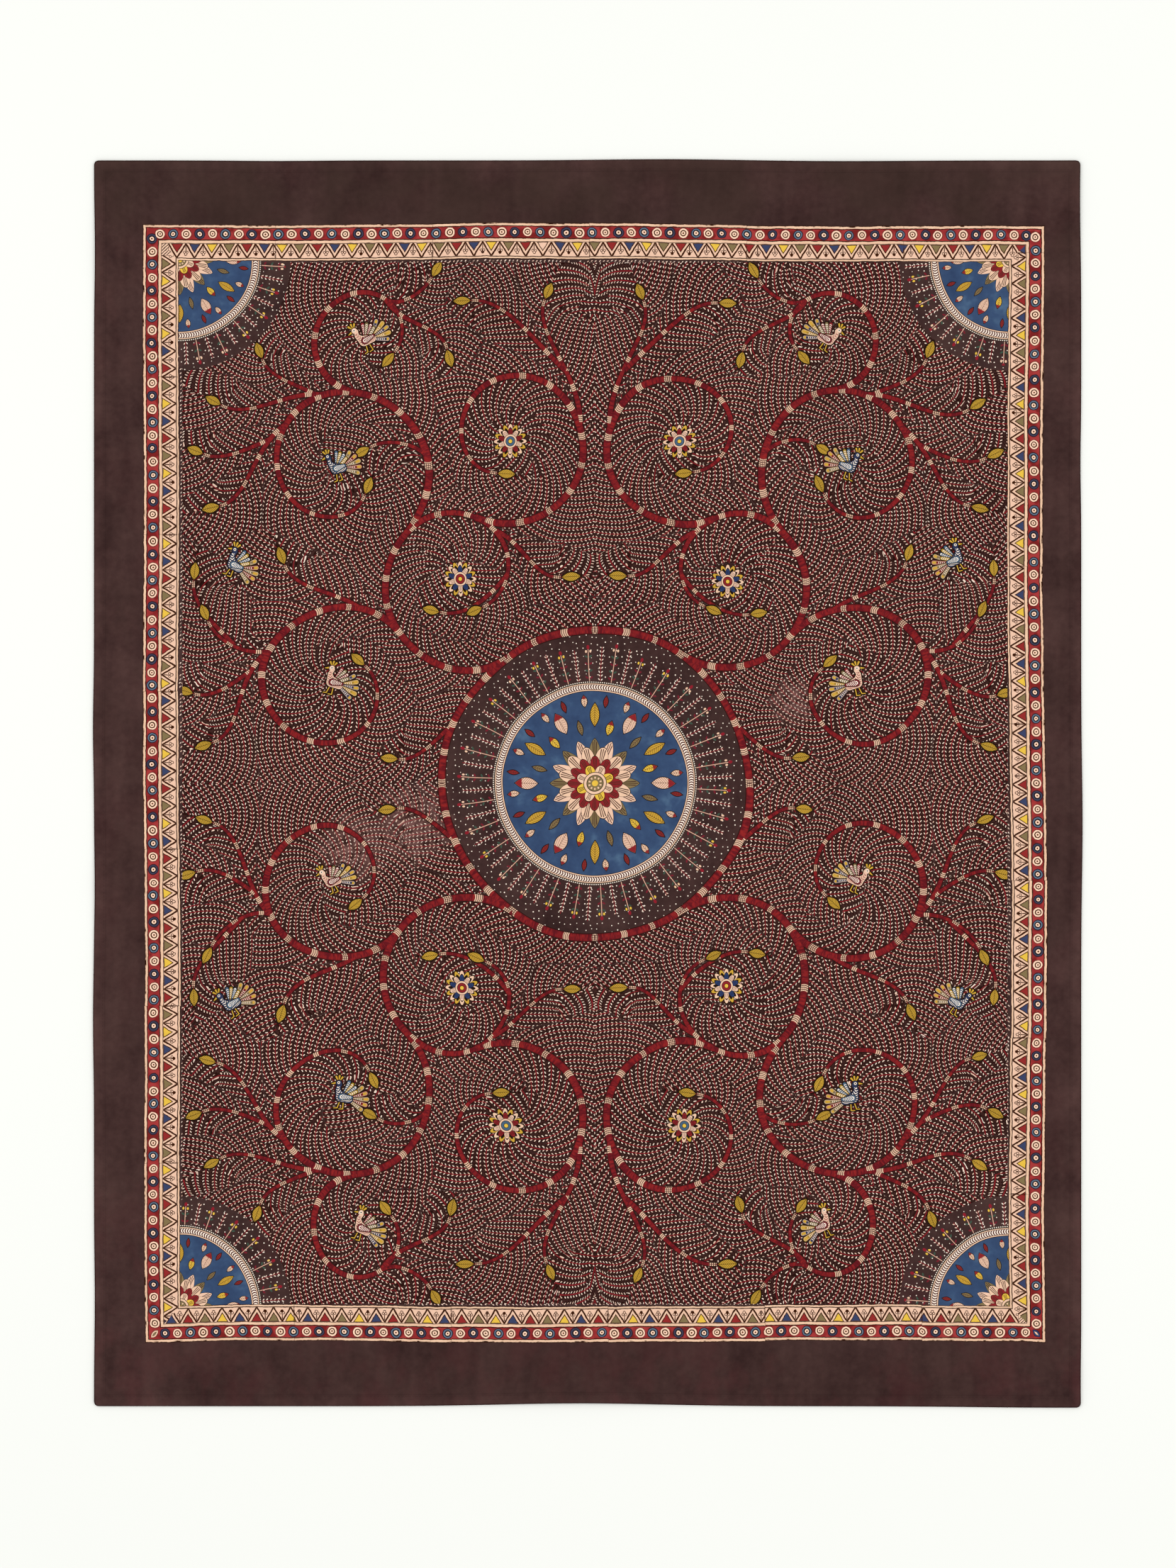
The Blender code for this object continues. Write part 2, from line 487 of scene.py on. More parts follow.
def nearest_feet(table, centres):
    """Numbers of the nearest and the next nearest foot on the stems, for each place.

    A foot is a point of a stem that is nearer than its neighbours. The root of a shoot is
    never one, because its parent runs through the same point.
    """
    first = table["first"]
    last = np.roll(first, -1)
    ring_start = np.zeros(len(first), dtype=bool)
    ring_start[0] = True
    near = np.zeros(len(centres), dtype=int)
    far = np.zeros(len(centres), dtype=int)
    for chunk in np.array_split(np.arange(len(centres)), CHUNKS):
        away = centres[chunk, None] - table["point"][None]
        gap = np.hypot(away[..., 0], away[..., 1])
        before = np.where(first, np.inf, np.roll(gap, 1, axis=1))
        after = np.where(last, np.inf, np.roll(gap, -1, axis=1))
        foot = (gap <= before) & (gap <= after) & (~first | ring_start)
        gap = np.where(foot, gap, np.inf)
        near[chunk] = np.argmin(gap, axis=1)
        gap[np.arange(len(chunk)), near[chunk]] = np.inf
        far[chunk] = np.argmin(gap, axis=1)
    return near, far


def row_reach(aside, bend, rate):
    """How much closer rows stand than along their stem, and the length of a row up to here.

    A row leans by ROW_LEAN at its stem and by ROW_BEND more for every metre of depth. The
    distance between rows shrinks towards the centre of the stem's bend. The length is the
    integral of the row's slope, taken at six depths.
    """
    sign = np.sign(aside)
    depth = np.abs(aside)
    spots, weights = np.polynomial.legendre.leggauss(6)
    length = np.zeros_like(depth)
    for spot, weight in zip(spots, weights):
        part = 0.5 * (spot + 1.0) * depth
        closer = rate / np.maximum(1.0 - bend * sign * part, ROW_LEAST_SHRINK)
        slope = (ROW_LEAN + ROW_BEND * part) / closer
        length += 0.5 * weight * depth * np.sqrt(1.0 + slope**2)
    return rate / np.maximum(1.0 - bend * aside, ROW_LEAST_SHRINK), length


def beside_stem(table, feet, corners):
    """Place of each face's corners beside the stem that carries the face's foot.

    Gives, in millimetres, the distance along the left and the right line, the distance from
    the stem, positive on its left, and the distance to its tip, negative beyond it. Then how
    much closer the rows stand there, the length of a row up to there, and the way to the foot.
    """
    window = np.arange(-FOOT_WINDOW, FOOT_WINDOW + 1)
    starts = np.maximum.accumulate(np.where(table["first"], np.arange(len(table["first"])), 0))
    ends = np.append(np.flatnonzero(table["first"])[1:], len(table["first"])) - 1
    stem_number = np.cumsum(table["first"]) - 1
    options = feet[:, None] + window[None]
    options = np.clip(options, starts[feet][:, None], ends[stem_number[feet]][:, None])
    away = corners[:, :, None] - table["point"][options][:, None]
    best = np.argmin(np.hypot(away[..., 0], away[..., 1]), axis=2)
    foot = np.take_along_axis(options, best, axis=1)
    away = corners - table["point"][foot]
    tangent = table["tangent"][foot]
    bend = table["bend"][foot]
    ahead = (away * tangent).sum(axis=-1)
    aside = tangent[..., 0] * away[..., 1] - tangent[..., 1] * away[..., 0]
    ahead /= np.maximum(1.0 - bend * aside, ROW_LEAST_RATE)
    left_rate = np.maximum(1.0 - bend * ROW_MID_DEPTH, ROW_LEAST_RATE)
    right_rate = np.maximum(1.0 + bend * ROW_MID_DEPTH, ROW_LEAST_RATE)
    on_ring = stem_number[foot] == 0
    place = (
        table["left"][foot] + left_rate * ahead,
        table["right"][foot] + right_rate * ahead,
        aside,
        table["end"][foot] - np.where(on_ring, -ahead, ahead),
    )
    closer, length = row_reach(aside, bend, np.where(aside > 0.0, left_rate, right_rate))
    back = away / np.maximum(np.hypot(away[..., 0], away[..., 1]), MM)[..., None]
    return np.stack(place, axis=-1) / MM, closer, length / MM, back


def beside_marks(marks, corners, centres):
    """Place of each face's corners in the frame of the mark nearest to the face.

    A mark is a place, a direction and a kind. Gives the distances along and across its
    direction in millimetres, its number and its kind.
    """
    places = np.array([mark[0] for mark in marks])
    directions = np.array([mark[1] for mark in marks])
    kinds = np.array([mark[2] for mark in marks])
    away = centres[:, None] - places[None]
    nearest = np.argmin(np.hypot(away[..., 0], away[..., 1]), axis=1)
    away = (corners - places[nearest][:, None]) / MM
    direction = directions[nearest][:, None]
    along = (away * direction).sum(axis=-1)
    across = direction[..., 0] * away[..., 1] - direction[..., 1] * away[..., 0]
    number = np.broadcast_to(nearest[:, None], along.shape).astype(float)
    kind = np.broadcast_to(kinds[nearest][:, None], along.shape).astype(float)
    return np.stack([along, across, number, kind], axis=-1)


def drifted(points):
    """Places moved by the slow waves of the design's drift."""
    moved = points.copy()
    for across, along, long_x, long_y, start in DRIFT:
        wave = np.sin(points[..., 0] * 2.0 * np.pi / long_x + start)
        wave = wave * np.cos(points[..., 1] * 2.0 * np.pi / long_y + 2.0 * start)
        moved[..., 0] += across * wave
        moved[..., 1] += along * wave
    return moved


def field_attributes(flat):
    """The attributes that the vine is drawn from, for the corners of every face of the grid.

    Places are folded into the quarter at +X +Y first. The quarter's number is added to the
    distances along the stems and to the numbers of the marks, so that each quarter differs.
    """
    corners = np.stack([flat[:-1, :-1], flat[:-1, 1:], flat[1:, 1:], flat[1:, :-1]], axis=2)
    corners = corners.reshape(-1, 4, 2) - np.array([FIELD_X, FIELD_Y])
    centres = corners.mean(axis=1)
    signs = np.where(centres < 0.0, -1.0, 1.0)
    quarter = (centres[:, 0] < 0.0) + 2.0 * (centres[:, 1] < 0.0)
    still = np.exp(-((np.abs(corners) / STILL_REACH) ** 2))
    moved = corners + (drifted(corners) - corners) * (1.0 - still)
    corners = moved * signs[:, None]
    centres = corners.mean(axis=1)

    stems, figures = lay_out_vine()
    table = stem_table(stems)
    near, far = nearest_feet(table, centres)
    fields = {}
    shape = np.zeros((len(corners), 4, 4))
    backs = []
    for number, (name, feet) in enumerate((("near_stem", near), ("far_stem", far))):
        place, closer, length, back = beside_stem(table, feet, corners)
        place[..., :2] += (quarter * len(stems) * STEM_NUMBER_STEP / MM)[:, None, None]
        fields[name] = place
        shape[..., number] = closer
        shape[..., 2 + number] = length
        backs.append(back)
    fields["row_shape"] = shape
    opening = np.hypot(*np.moveaxis(backs[0] - backs[1], -1, 0))
    fields["seam_shape"] = np.repeat(opening[..., None], 4, axis=2)

    leaves = []
    for stem in stems[1:]:
        direction = tangents(stem)[-1]
        leaves.append((stem[-1] + BIG_LEAF_AHEAD * BIG_LEAF_LENGTH * direction, direction, 0.0))
    marks = []
    for place, (kind, degrees) in zip(figures, FIGURE_KINDS):
        marks.append((place, turned((1.0, 0.0), degrees), kind))
    fields["big_leaf"] = beside_marks(leaves, corners, centres)
    fields["figure"] = beside_marks(marks, corners, centres)
    fields["figure"][..., 1] *= signs[:, None, 1]
    for name in ("big_leaf", "figure"):
        fields[name][..., 2] += (quarter * MARK_NUMBER_STEP)[:, None]
    return fields


class Value:
    """A number that varies over the surface. Its operators add Math nodes to the recipe."""

    def __init__(self, recipe, socket):
        self.recipe = recipe
        self.socket = socket

    def __add__(self, other):
        return self.recipe.maths("ADD", self, other)

    __radd__ = __add__

    def __sub__(self, other):
        return self.recipe.maths("SUBTRACT", self, other)

    def __rsub__(self, other):
        return self.recipe.maths("SUBTRACT", other, self)

    def __mul__(self, other):
        return self.recipe.maths("MULTIPLY", self, other)

    __rmul__ = __mul__

    def __truediv__(self, other):
        return self.recipe.maths("DIVIDE", self, other)

    def __rtruediv__(self, other):
        return self.recipe.maths("DIVIDE", other, self)

    def __pow__(self, other):
        return self.recipe.maths("POWER", self, other)

    def __mod__(self, other):
        return self.recipe.maths("FLOORED_MODULO", self, other)

    def __neg__(self):
        return self.recipe.maths("MULTIPLY", self, -1.0)

    def __abs__(self):
        return self.recipe.maths("ABSOLUTE", self)

    def __lt__(self, other):
        return self.recipe.maths("LESS_THAN", self, other)

    def __gt__(self, other):
        return self.recipe.maths("GREATER_THAN", self, other)

    def floor(self):
        return self.recipe.maths("FLOOR", self)

    def fract(self):
        return self.recipe.maths("FRACT", self)

    def root(self):
        return self.recipe.maths("SQRT", self)

    def sin(self):
        return self.recipe.maths("SINE", self)

    def cos(self):
        return self.recipe.maths("COSINE", self)

    def at_least(self, other):
        return self.recipe.maths("MAXIMUM", self, other)

    def at_most(self, other):
        return self.recipe.maths("MINIMUM", self, other)

    def below(self, edge, blur=0.35):
        """One where the number is below the edge and nought above it, with a blurred step."""
        gap = self
        if isinstance(edge, Value):
            gap = self - edge
            edge = 0.0
        return self.recipe.step(gap, edge - blur / 2.0, edge + blur / 2.0, 1.0, 0.0)

    def above(self, edge, blur=0.35):
        """One where the number is above the edge and nought below it, with a blurred step."""
        gap = self
        if isinstance(edge, Value):
            gap = self - edge
            edge = 0.0
        return self.recipe.step(gap, edge - blur / 2.0, edge + blur / 2.0, 0.0, 1.0)

    def between(self, low, high, blur=0.35):
        """One where the number lies between the two edges."""
        return abs(self - 0.5 * (low + high)).below(0.5 * (high - low), blur)


def span(across, along):
    """Length of a step of two legs, each a Value."""
    return (across * across + along * along).root()


class Colour:
    """A colour that varies over the surface."""

    def __init__(self, recipe, socket):
        self.recipe = recipe
        self.socket = socket

    def coated(self, mask, other):
        """This colour with the other one laid over it where the mask is one."""
        return self.recipe.mix(mask, self, other)

    def discs(self, away, rings):
        """This colour under discs, widest first: how far each reaches, and its paint."""
        paint = self
        for reach, colour in rings:
            paint = paint.coated(away.below(reach, 0.4), colour)
        return paint

    def outlined(self, inside, rim, fill):
        """This colour under a shape and its dark rim, given the depth inside the shape."""
        paint = self.coated(inside.above(-rim, 0.4), INK)
        return paint.coated(inside.above(0.0, 0.3), fill)

    def clouded(self, place, least, spread):
        """This colour with the fine cloudiness of hand-brushed dye."""
        return self.times(self.recipe.noise(place, 5.0, 2.0, 0.7) * spread + least)

    def times(self, value):
        """This colour made lighter or darker."""
        node = self.recipe.node(
            "ShaderNodeVectorMath", {"operation": "SCALE"}, {"Vector": self, "Scale": value}
        )
        return Colour(self.recipe, node.outputs["Vector"])


class Recipe:
    """The nodes of one material."""

    def __init__(self, name):
        self.material = bpy.data.materials.new(name)
        self.material.use_nodes = True
        self.tree = self.material.node_tree
        self.tree.nodes.clear()

    def node(self, kind, settings=None, inputs=None):
        """Adds a node, sets it, and then sets or links its sockets by name or identifier."""
        node = self.tree.nodes.new(kind)
        for name, value in (settings or {}).items():
            setattr(node, name, value)
        for name, value in (inputs or {}).items():
            if isinstance(name, int):
                socket = node.inputs[name]
            else:
                socket = next(s for s in node.inputs if name in (s.identifier, s.name))
            if isinstance(value, (Value, Colour)):
                self.tree.links.new(value.socket, socket)
            else:
                socket.default_value = value
        return node

    def maths(self, operation, *values):
        """One Math node."""
        node = self.node("ShaderNodeMath", {"operation": operation}, dict(enumerate(values)))
        return Value(self, node.outputs[0])

    def step(self, value, low, high, at_low, at_high):
        """A straight rise or fall between two edges, flat beyond them."""
        inputs = {
            "Value": value,
            "From Min": low,
            "From Max": high,
            "To Min": at_low,
            "To Max": at_high,
        }
        node = self.node("ShaderNodeMapRange", {"clamp": True}, inputs)
        return Value(self, node.outputs["Result"])

    def colour(self, rgb):
        """Red, green and blue as seen on a screen, from 0 to 255, as a plain linear colour."""
        share = np.array(rgb, dtype=float) / 255.0
        linear = np.where(share <= 0.04045, share / 12.92, ((share + 0.055) / 1.055) ** 2.4)
        return (*linear.tolist(), 1.0)

    def mix(self, mask, first, second):
        """The first paint where the mask is nought and the second where it is one."""
        inputs = {"Factor_Float": mask}
        for name, paint in (("A_Color", first), ("B_Color", second)):
            inputs[name] = paint if isinstance(paint, Colour) else self.colour(paint)
        node = self.node("ShaderNodeMix", {"data_type": "RGBA"}, inputs)
        output = next(s for s in node.outputs if s.identifier == "Result_Color")
        return Colour(self, output)

    def in_turn(self, number, even, odd):
        """One paint where the whole number is even and another where it is odd."""
        return self.mix((number % 2.0).above(0.5, 0.1), even, odd)

    def choose(self, mask, when_one, when_nought):
        """One of two plain numbers."""
        return mask * (when_one - when_nought) + when_nought

    def vector(self, x, y, z=0.0):
        """Three numbers as one vector."""
        node = self.node("ShaderNodeCombineXYZ", None, {"X": x, "Y": y, "Z": z})
        return Colour(self, node.outputs["Vector"])

    def numbers(self, node):
        """The three numbers that a node gives as one colour."""
        parts = self.node("ShaderNodeSeparateColor")
        self.tree.links.new(node.outputs["Color"], parts.inputs["Color"])
        return tuple(Value(self, parts.outputs[name]) for name in ("Red", "Green", "Blue"))

    def noise(self, place, period, detail=1.0, roughness=0.5):
        """Soft noise about 0.5, whose blotches are about a period wide."""
        inputs = {"Vector": place, "Scale": 1.0 / period, "Detail": detail, "Roughness": roughness}
        node = self.node("ShaderNodeTexNoise", {"noise_dimensions": "3D"}, inputs)
        return Value(self, node.outputs["Fac"])

    def wobble(self, place, period):
        """Two soft noises about nought, from one node."""
        inputs = {"Vector": place, "Scale": 1.0 / period, "Detail": 0.0}
        node = self.node("ShaderNodeTexNoise", {"noise_dimensions": "3D"}, inputs)
        first, second, _ = self.numbers(node)
        return first - 0.5, second - 0.5

    def chances(self, x, y, z=0.0):
        """Three numbers from 0 to 1 that belong to these three whole numbers."""
        node = self.node(
            "ShaderNodeTexWhiteNoise", {"noise_dimensions": "3D"}, {"Vector": self.vector(x, y, z)}
        )
        return self.numbers(node)

    def attribute(self, name):
        """The four numbers of a corner attribute."""
        node = self.node("ShaderNodeAttribute", {"attribute_name": name})
        return (*self.numbers(node), Value(self, node.outputs["Alpha"]))

    def place(self):
        """Place on the cloth in millimetres, as X and Y and as one vector."""
        where = self.node("ShaderNodeTexCoord")
        scaled = self.node("ShaderNodeVectorMath", {"operation": "SCALE"}, {"Scale": 1.0 / MM})
        self.tree.links.new(where.outputs["Object"], scaled.inputs["Vector"])
        parts = self.node("ShaderNodeSeparateXYZ")
        self.tree.links.new(scaled.outputs["Vector"], parts.inputs["Vector"])
        x = Value(self, parts.outputs["X"])
        y = Value(self, parts.outputs["Y"])
        return x, y, Colour(self, scaled.outputs["Vector"])


# Colours as seen, red, green and blue from 0 to 255
GROUND_PALE = (75, 53, 50)
GROUND_DEEP = (51, 33, 32)
GROUND_GREY = (60, 45, 39)
GROUND_MAROON = (84, 43, 45)
GROUND_WORN = (152, 108, 102)
INK = (34, 20, 14)
FRAME_INK = (48, 22, 10)
ROW_INK = (32, 9, 4)
CREAM = (240, 199, 168)
LINE_CREAM = (243, 203, 171)
LINE_CREAM_DEEP = (232, 190, 158)
CREAM_PINK = (240, 198, 171)
CREAM_COOL = (255, 240, 222)
DISC_CREAM = (255, 215, 187)
DISC_STEEL = (98, 117, 137)
DISC_NAVY = (64, 66, 89)
DISC_RIM_COOL = (52, 34, 42)
DISC_RIM_WARM = (66, 22, 12)
DISC_RING_COOL = (32, 30, 36)
DISC_RING_WARM = (70, 40, 14)
DISC_DOT = (92, 44, 14)
POINT_NAVY = (60, 68, 100)
POINT_RED = (147, 45, 44)
POINT_INK = (60, 26, 8)
BAND_RED = (147, 45, 46)
BAND_RED_BRIGHT = (166, 58, 57)
BAND_RED_DEEP = (124, 35, 34)
FEATHER_NAVY = (46, 55, 84)
LEAF_PALE = (255, 232, 214)
LEAF_PINK = (228, 178, 152)
RED = (140, 38, 42)
RED_DEEP = (122, 32, 39)
STEM_RED = (106, 27, 34)
STEM_EDGE = (92, 22, 28)
STEM_BRIGHT = (146, 38, 37)
STEM_BAND = (50, 20, 20)
EDGING_RED = (84, 34, 32)
HEAD_RED = (140, 32, 44)
LEAF_WINE = (118, 34, 46)
ROW_RED = (140, 31, 39)
ROW_GROUND = (58, 29, 24)
YELLOW = (234, 192, 72)
MUSTARD = (208, 164, 60)
MUSTARD_GREEN = (176, 140, 50)
OLIVE = (132, 114, 78)
NAVY = (46, 65, 108)
STEEL = (74, 100, 124)
BLUE = (58, 79, 112)
BLUE_DEEP = (49, 66, 98)
BLUE_PALE = (86, 114, 142)
GREEN = (62, 84, 70)
BIG_LEAF_VEIN = (74, 54, 20)
PETAL_VEIN = (70, 42, 34)
SMALL_LEAF_VEIN = (84, 46, 32)

# Printed frame, in millimetres: where each band starts and ends, measured in from the frame's
# outer edge, how far its dark ink reaches out and in, the middle of the discs and how far each
# of their rings reaches from it, and the last leaves of the field. Then the printing blocks:
# their length, how far each is set off its line, the gaps they leave in the cream lines at a
# joint, the dark stroke over a joint, and how far in the outer line is eaten away
OUTER_LINE_START = 0.35
OUTER_LINE_END = 3.5
RED_BAND_START = 4.8
RED_BAND_END = 21.4
INNER_LINE_START = 22.8
INNER_LINE_END = 26.5
TRIANGLE_START = 27.5
TRIANGLE_END = 48.0
FIELD_LINE_START = 49.4
FIELD_LINE_END = 51.6
FIELD_START = 52.6
LAST_LEAVES_DEPTH = 57.0
INK_OUT = 0.8
INK_IN = 0.9
DISC_DEPTH = 13.1
DISC_REACHES = (8.0, 6.6, 4.95, 3.05, 1.25)
DISC_SLIP = 1.1
DISC_OVERHANG = 0.4
LAST_LEAVES_WIDTH = 7.6
BLOCK_LENGTH = 231.0
BLOCK_SLIP = 1.5
JOINT_WIDTH = 0.9
JOINT_WEAR = 0.45
OVERPRINT_HALF = 1.1
EATEN_DEPTH = 1.7
FRAME_WIDE = (FRAME_RIGHT - FRAME_LEFT) / MM
FRAME_TALL = (FRAME_TOP - FRAME_BOTTOM) / MM

# Wobbles of the hand-set print: how long each is, and how far it moves the print at most
FRAME_WOBBLES = ((85.0, 2.4), (10.0, 1.4), (2.8, 0.7))

TOP, BOTTOM, LEFT, RIGHT = range(4)

# Slow bows of the printed frame, inwards: the shifts of a side's two ends, and the heights of
# the waves that have one to five halves along it
FRAME_BOWS = (
    # start, end, one, two, three, four, five
    (-0.4, 0.9, -1.6, -0.9, 1.3, 0.6, -0.2),
    (-0.9, -0.5, 1.4, -0.3, 1.9, 0.5, 0.3),
    (-0.7, 2.3, -0.8, 0.1, 0.4, 0.4, -0.7),
    (1.6, -0.3, 0.3, 1.8, 1.6, -1.1, -0.1),
)

# The printed repeat of each side: the share of a block that stands before the side's start,
# where its first disc and triangle stand and how far apart they are, how far they drift from
# this halfway along and later on, how many discs there are, and where and which way the
# colours start
SIDES = (
    # name, top, bottom, left, right
    ("joint_at", 0.157, 0.05, 0.03, 0.83),
    ("disc_first", 23.0, 28.9, 20.6, 16.6),
    ("disc_pitch", 19.04, 18.90, 19.18, 19.02),
    ("disc_drift", 9.4, 0.0, 0.0, 0.0),
    ("disc_late_drift", 0.0, 0.0, 6.0, 5.2),
    ("discs", 68.0, 68.0, 84.0, 85.0),
    ("disc_start", 0.0, 3.0, 3.0, 0.0),
    ("point_first", 48.0, 63.5, 57.7, 58.8),
    ("point_pitch", 25.35, 25.19, 25.53, 25.36),
    ("point_drift", 7.8, -0.6, 0.0, 2.6),
    ("point_late_drift", 0.0, 0.0, 5.6, 0.0),
    ("point_way", 1.0, -1.0, -1.0, 1.0),
    ("point_start", 0.0, 0.0, 2.0, 2.0),
)
COLOURS_IN_TURN = 4.0

# Triangles: the one left blank on the top side, the last one of the bottom side, how far the
# zigzag and the fill stand inside a slant, how steep it is, and the strokes of a bare corner
BLANK_POINT = 21.0
LAST_POINT = 48.0
ZIGZAG_START = 1.0
ZIGZAG_END = 3.3
FILL_START = 4.5
SLANT_SHARE = 0.84
STROKE_PITCH = 4.6

# Weave, and how high it, its thicker threads and the cloth's soft unevenness stand in the bump
WEAVE_PITCH = 0.9
BUMP_WEAVE = 0.05
BUMP_THREAD = 0.28
BUMP_SOFT = 0.9

# Back: how far its dye hides the paint that comes through, and its tone
BACK_DYE = 0.62
BACK_TONE = 0.95

# Hem: its tone at the edge, the painted shade that darkens its crease and the groove beside it,
# and the stitches that hold it
HEM_TONE = 1.22
CREASE_SHADE = 0.35
GROOVE_SHADE = 0.10
STITCH_DEPTH = 13.2
STITCH_LENGTH = 5.2
STITCH_SHARE = 0.62
THREAD_HALF = 0.35


def ground(recipe, x, y, place):
    """Brown dye, cloudy and blotched, with faint streaks along the cloth."""
    clouds = recipe.noise(place, 95.0, 3.0, 0.6)
    fine = recipe.noise(place, 9.0, 2.0, 0.6)
    streaks = recipe.noise(recipe.vector(x * 0.5, y * 0.06, 3.0), 9.0, 1.0)
    tone = clouds * 0.9 + fine * 0.35 + streaks * 0.3
    paint = recipe.mix(recipe.step(tone, 0.55, 1.0, 0.0, 1.0), GROUND_DEEP, GROUND_PALE)
    blotch = recipe.noise(recipe.vector(x + 900.0, y * 0.7, 0.0), 70.0, 3.0, 0.65)
    low_side = recipe.step(y, -500.0, -880.0, 0.25, 1.0)
    paint = paint.coated(blotch.above(0.56, 0.16) * low_side * 0.28, GROUND_MAROON)
    sides = recipe.step(abs(x), 560.0, 720.0, 0.0, 1.0)
    paint = paint.times(1.0 + sides * 0.16)
    grey = recipe.noise(recipe.vector(x, y - 400.0, 7.0), 120.0, 2.0, 0.6)
    high_side = recipe.step(y, 700.0, 840.0, 0.2, 1.0)
    return paint.coated(grey.above(0.47, 0.2) * high_side * 0.5, GROUND_GREY)


def finish(recipe, paint, place, x, y):
    """The cloth's surface under its paint, the same for every material.

    The back takes the same paint, paler and partly hidden by its own dye. The bump is the
    weave, thicker threads here and there along both ways, and the cloth's soft unevenness.
    """
    reverse = recipe.attribute("reverse")[0]
    through = recipe.mix(BACK_DYE, paint, GROUND_PALE).times(BACK_TONE)
    paint = recipe.mix(reverse, paint, through)
    warp = (x * (2.0 * np.pi / WEAVE_PITCH)).sin()
    weft = (y * (2.0 * np.pi / WEAVE_PITCH)).sin()
    across = recipe.noise(recipe.vector(x * 0.04, y * 0.9, 1.0), 1.6, 1.0)
    along = recipe.noise(recipe.vector(x * 0.9, y * 0.04, 5.0), 1.6, 1.0)
    soft = recipe.noise(place, 14.0, 2.0)
    height = warp * weft * BUMP_WEAVE + across * BUMP_THREAD
    height = height + along * BUMP_THREAD + soft * BUMP_SOFT
    bump = recipe.node(
        "ShaderNodeBump", None, {"Strength": 0.35, "Distance": 0.0004, "Height": height}
    )
    rough = recipe.step(soft, 0.2, 0.8, 0.84, 0.94)
    looks = {"Base Color": paint, "Roughness": rough, "Specular IOR Level": 0.03}
    shader = recipe.node("ShaderNodeBsdfPrincipled", None, looks)
    recipe.tree.links.new(bump.outputs["Normal"], shader.inputs["Normal"])
    output = recipe.node("ShaderNodeOutputMaterial")
    recipe.tree.links.new(shader.outputs["BSDF"], output.inputs["Surface"])
    return recipe.material


def margin_material():
    """Plain dyed cloth round the design, with the turned hem along its edge and painted shade in
    its crease and groove.
    """
    recipe = Recipe("plain_margin")
    x, y, place = recipe.place()
    edge = recipe.attribute("from_edge")[0]
    paint = ground(recipe, x, y, place)
    hem_end = HEM_WIDTH / MM
    hem = recipe.step(edge, 1.0, hem_end, HEM_TONE, 1.0)
    # Painted shade: the colour is darkened along the folded edge and in the groove where the hem
    # ends
    crease_shade = 1.0 - edge.below(1.2, 1.6) * CREASE_SHADE
    groove_shade = 1.0 - edge.between(hem_end - 0.8, hem_end + 0.9, 0.9) * GROOVE_SHADE
    stitch = ((x + y) / STITCH_LENGTH).fract().below(STITCH_SHARE, 0.1)
    thread = stitch * edge.between(STITCH_DEPTH - THREAD_HALF, STITCH_DEPTH + THREAD_HALF, 0.5)
    paint = paint.times(hem * crease_shade * groove_shade)
    paint = paint.coated(thread * 0.45, GROUND_DEEP)
    return finish(recipe, paint, place, x, y)


def between_sides(recipe, is_first, first, second):
    """The numbers of one of two sides, by name."""
    return {
        name: recipe.choose(is_first, values[first], values[second])
        for name, *values in SIDES
    }


def even_run(run, length, side, row):
    """Distance along a side with the slow drift of one of its printed rows taken out.

    The drift is a parabola that is highest halfway along, and a cubic that is highest at two
    thirds, each as high as the side's number says.
    """
    share = (run / length).at_least(0.0).at_most(1.0)
    drift = side[row + "_drift"] * 4.0 + share * side[row + "_late_drift"] * 6.75
    return run - share * (1.0 - share) * drift


def frame_bow(share, side):
    """How far one side of the printed frame bows inwards, at a share of its length."""
    start, end, *heights = FRAME_BOWS[side]
    bow = share * (end - start) + start
    for halves, height in enumerate(heights, start=1):
        bow = bow + (share * (np.pi * halves)).sin() * height
    return bow


def disc_row(recipe, run, depth, side, line):
    """A row of printed discs: its paint, and a mask of the discs.

    Each disc has a dot, a pale ring, a dark ring, its own colour and a dark edge. Along the
    row the colours go cream, pale blue, cream, dark blue. Line is the row's own number, so
    that no two rows slip alike.
    """
    run = run - side["disc_first"]
    number = (run / side["disc_pitch"] + 0.5).floor().at_least(0.0)
    number = number.at_most(side["discs"] - 1.0)
    slip, rise, size = recipe.chances(number, line)
    aside = run - number * side["disc_pitch"] + (slip - 0.5) * DISC_SLIP
    up = depth - DISC_DEPTH + (rise - 0.5) * DISC_SLIP
    away = span(aside, up) * (1.07 - size * 0.12)
    turn = (number + side["disc_start"]) % COLOURS_IN_TURN
    pale = 1.0 - (turn % 2.0)
    dark_blue = turn.above(2.5, 0.1)
    body = recipe.mix(dark_blue, DISC_STEEL, DISC_NAVY).coated(pale, DISC_CREAM)
    edge = recipe.mix(pale, DISC_RIM_COOL, DISC_RIM_WARM)
    rim_end, body_end, ring_end, eye_end, dot_end = DISC_REACHES
    paint = edge.coated(away.below(pale * 0.3 + body_end, 0.5), body)
    ring = recipe.mix(pale, DISC_RING_COOL, DISC_RING_WARM)
    paint = paint.coated(away.below(ring_end - pale * 0.2, 0.5), ring)
    paint = paint.coated(away.below(eye_end, 0.5), DISC_CREAM)
    paint = paint.coated(away.below(dot_end, 0.5), DISC_DOT)
    return paint, away.below(rim_end - pale * 0.3, 0.5)


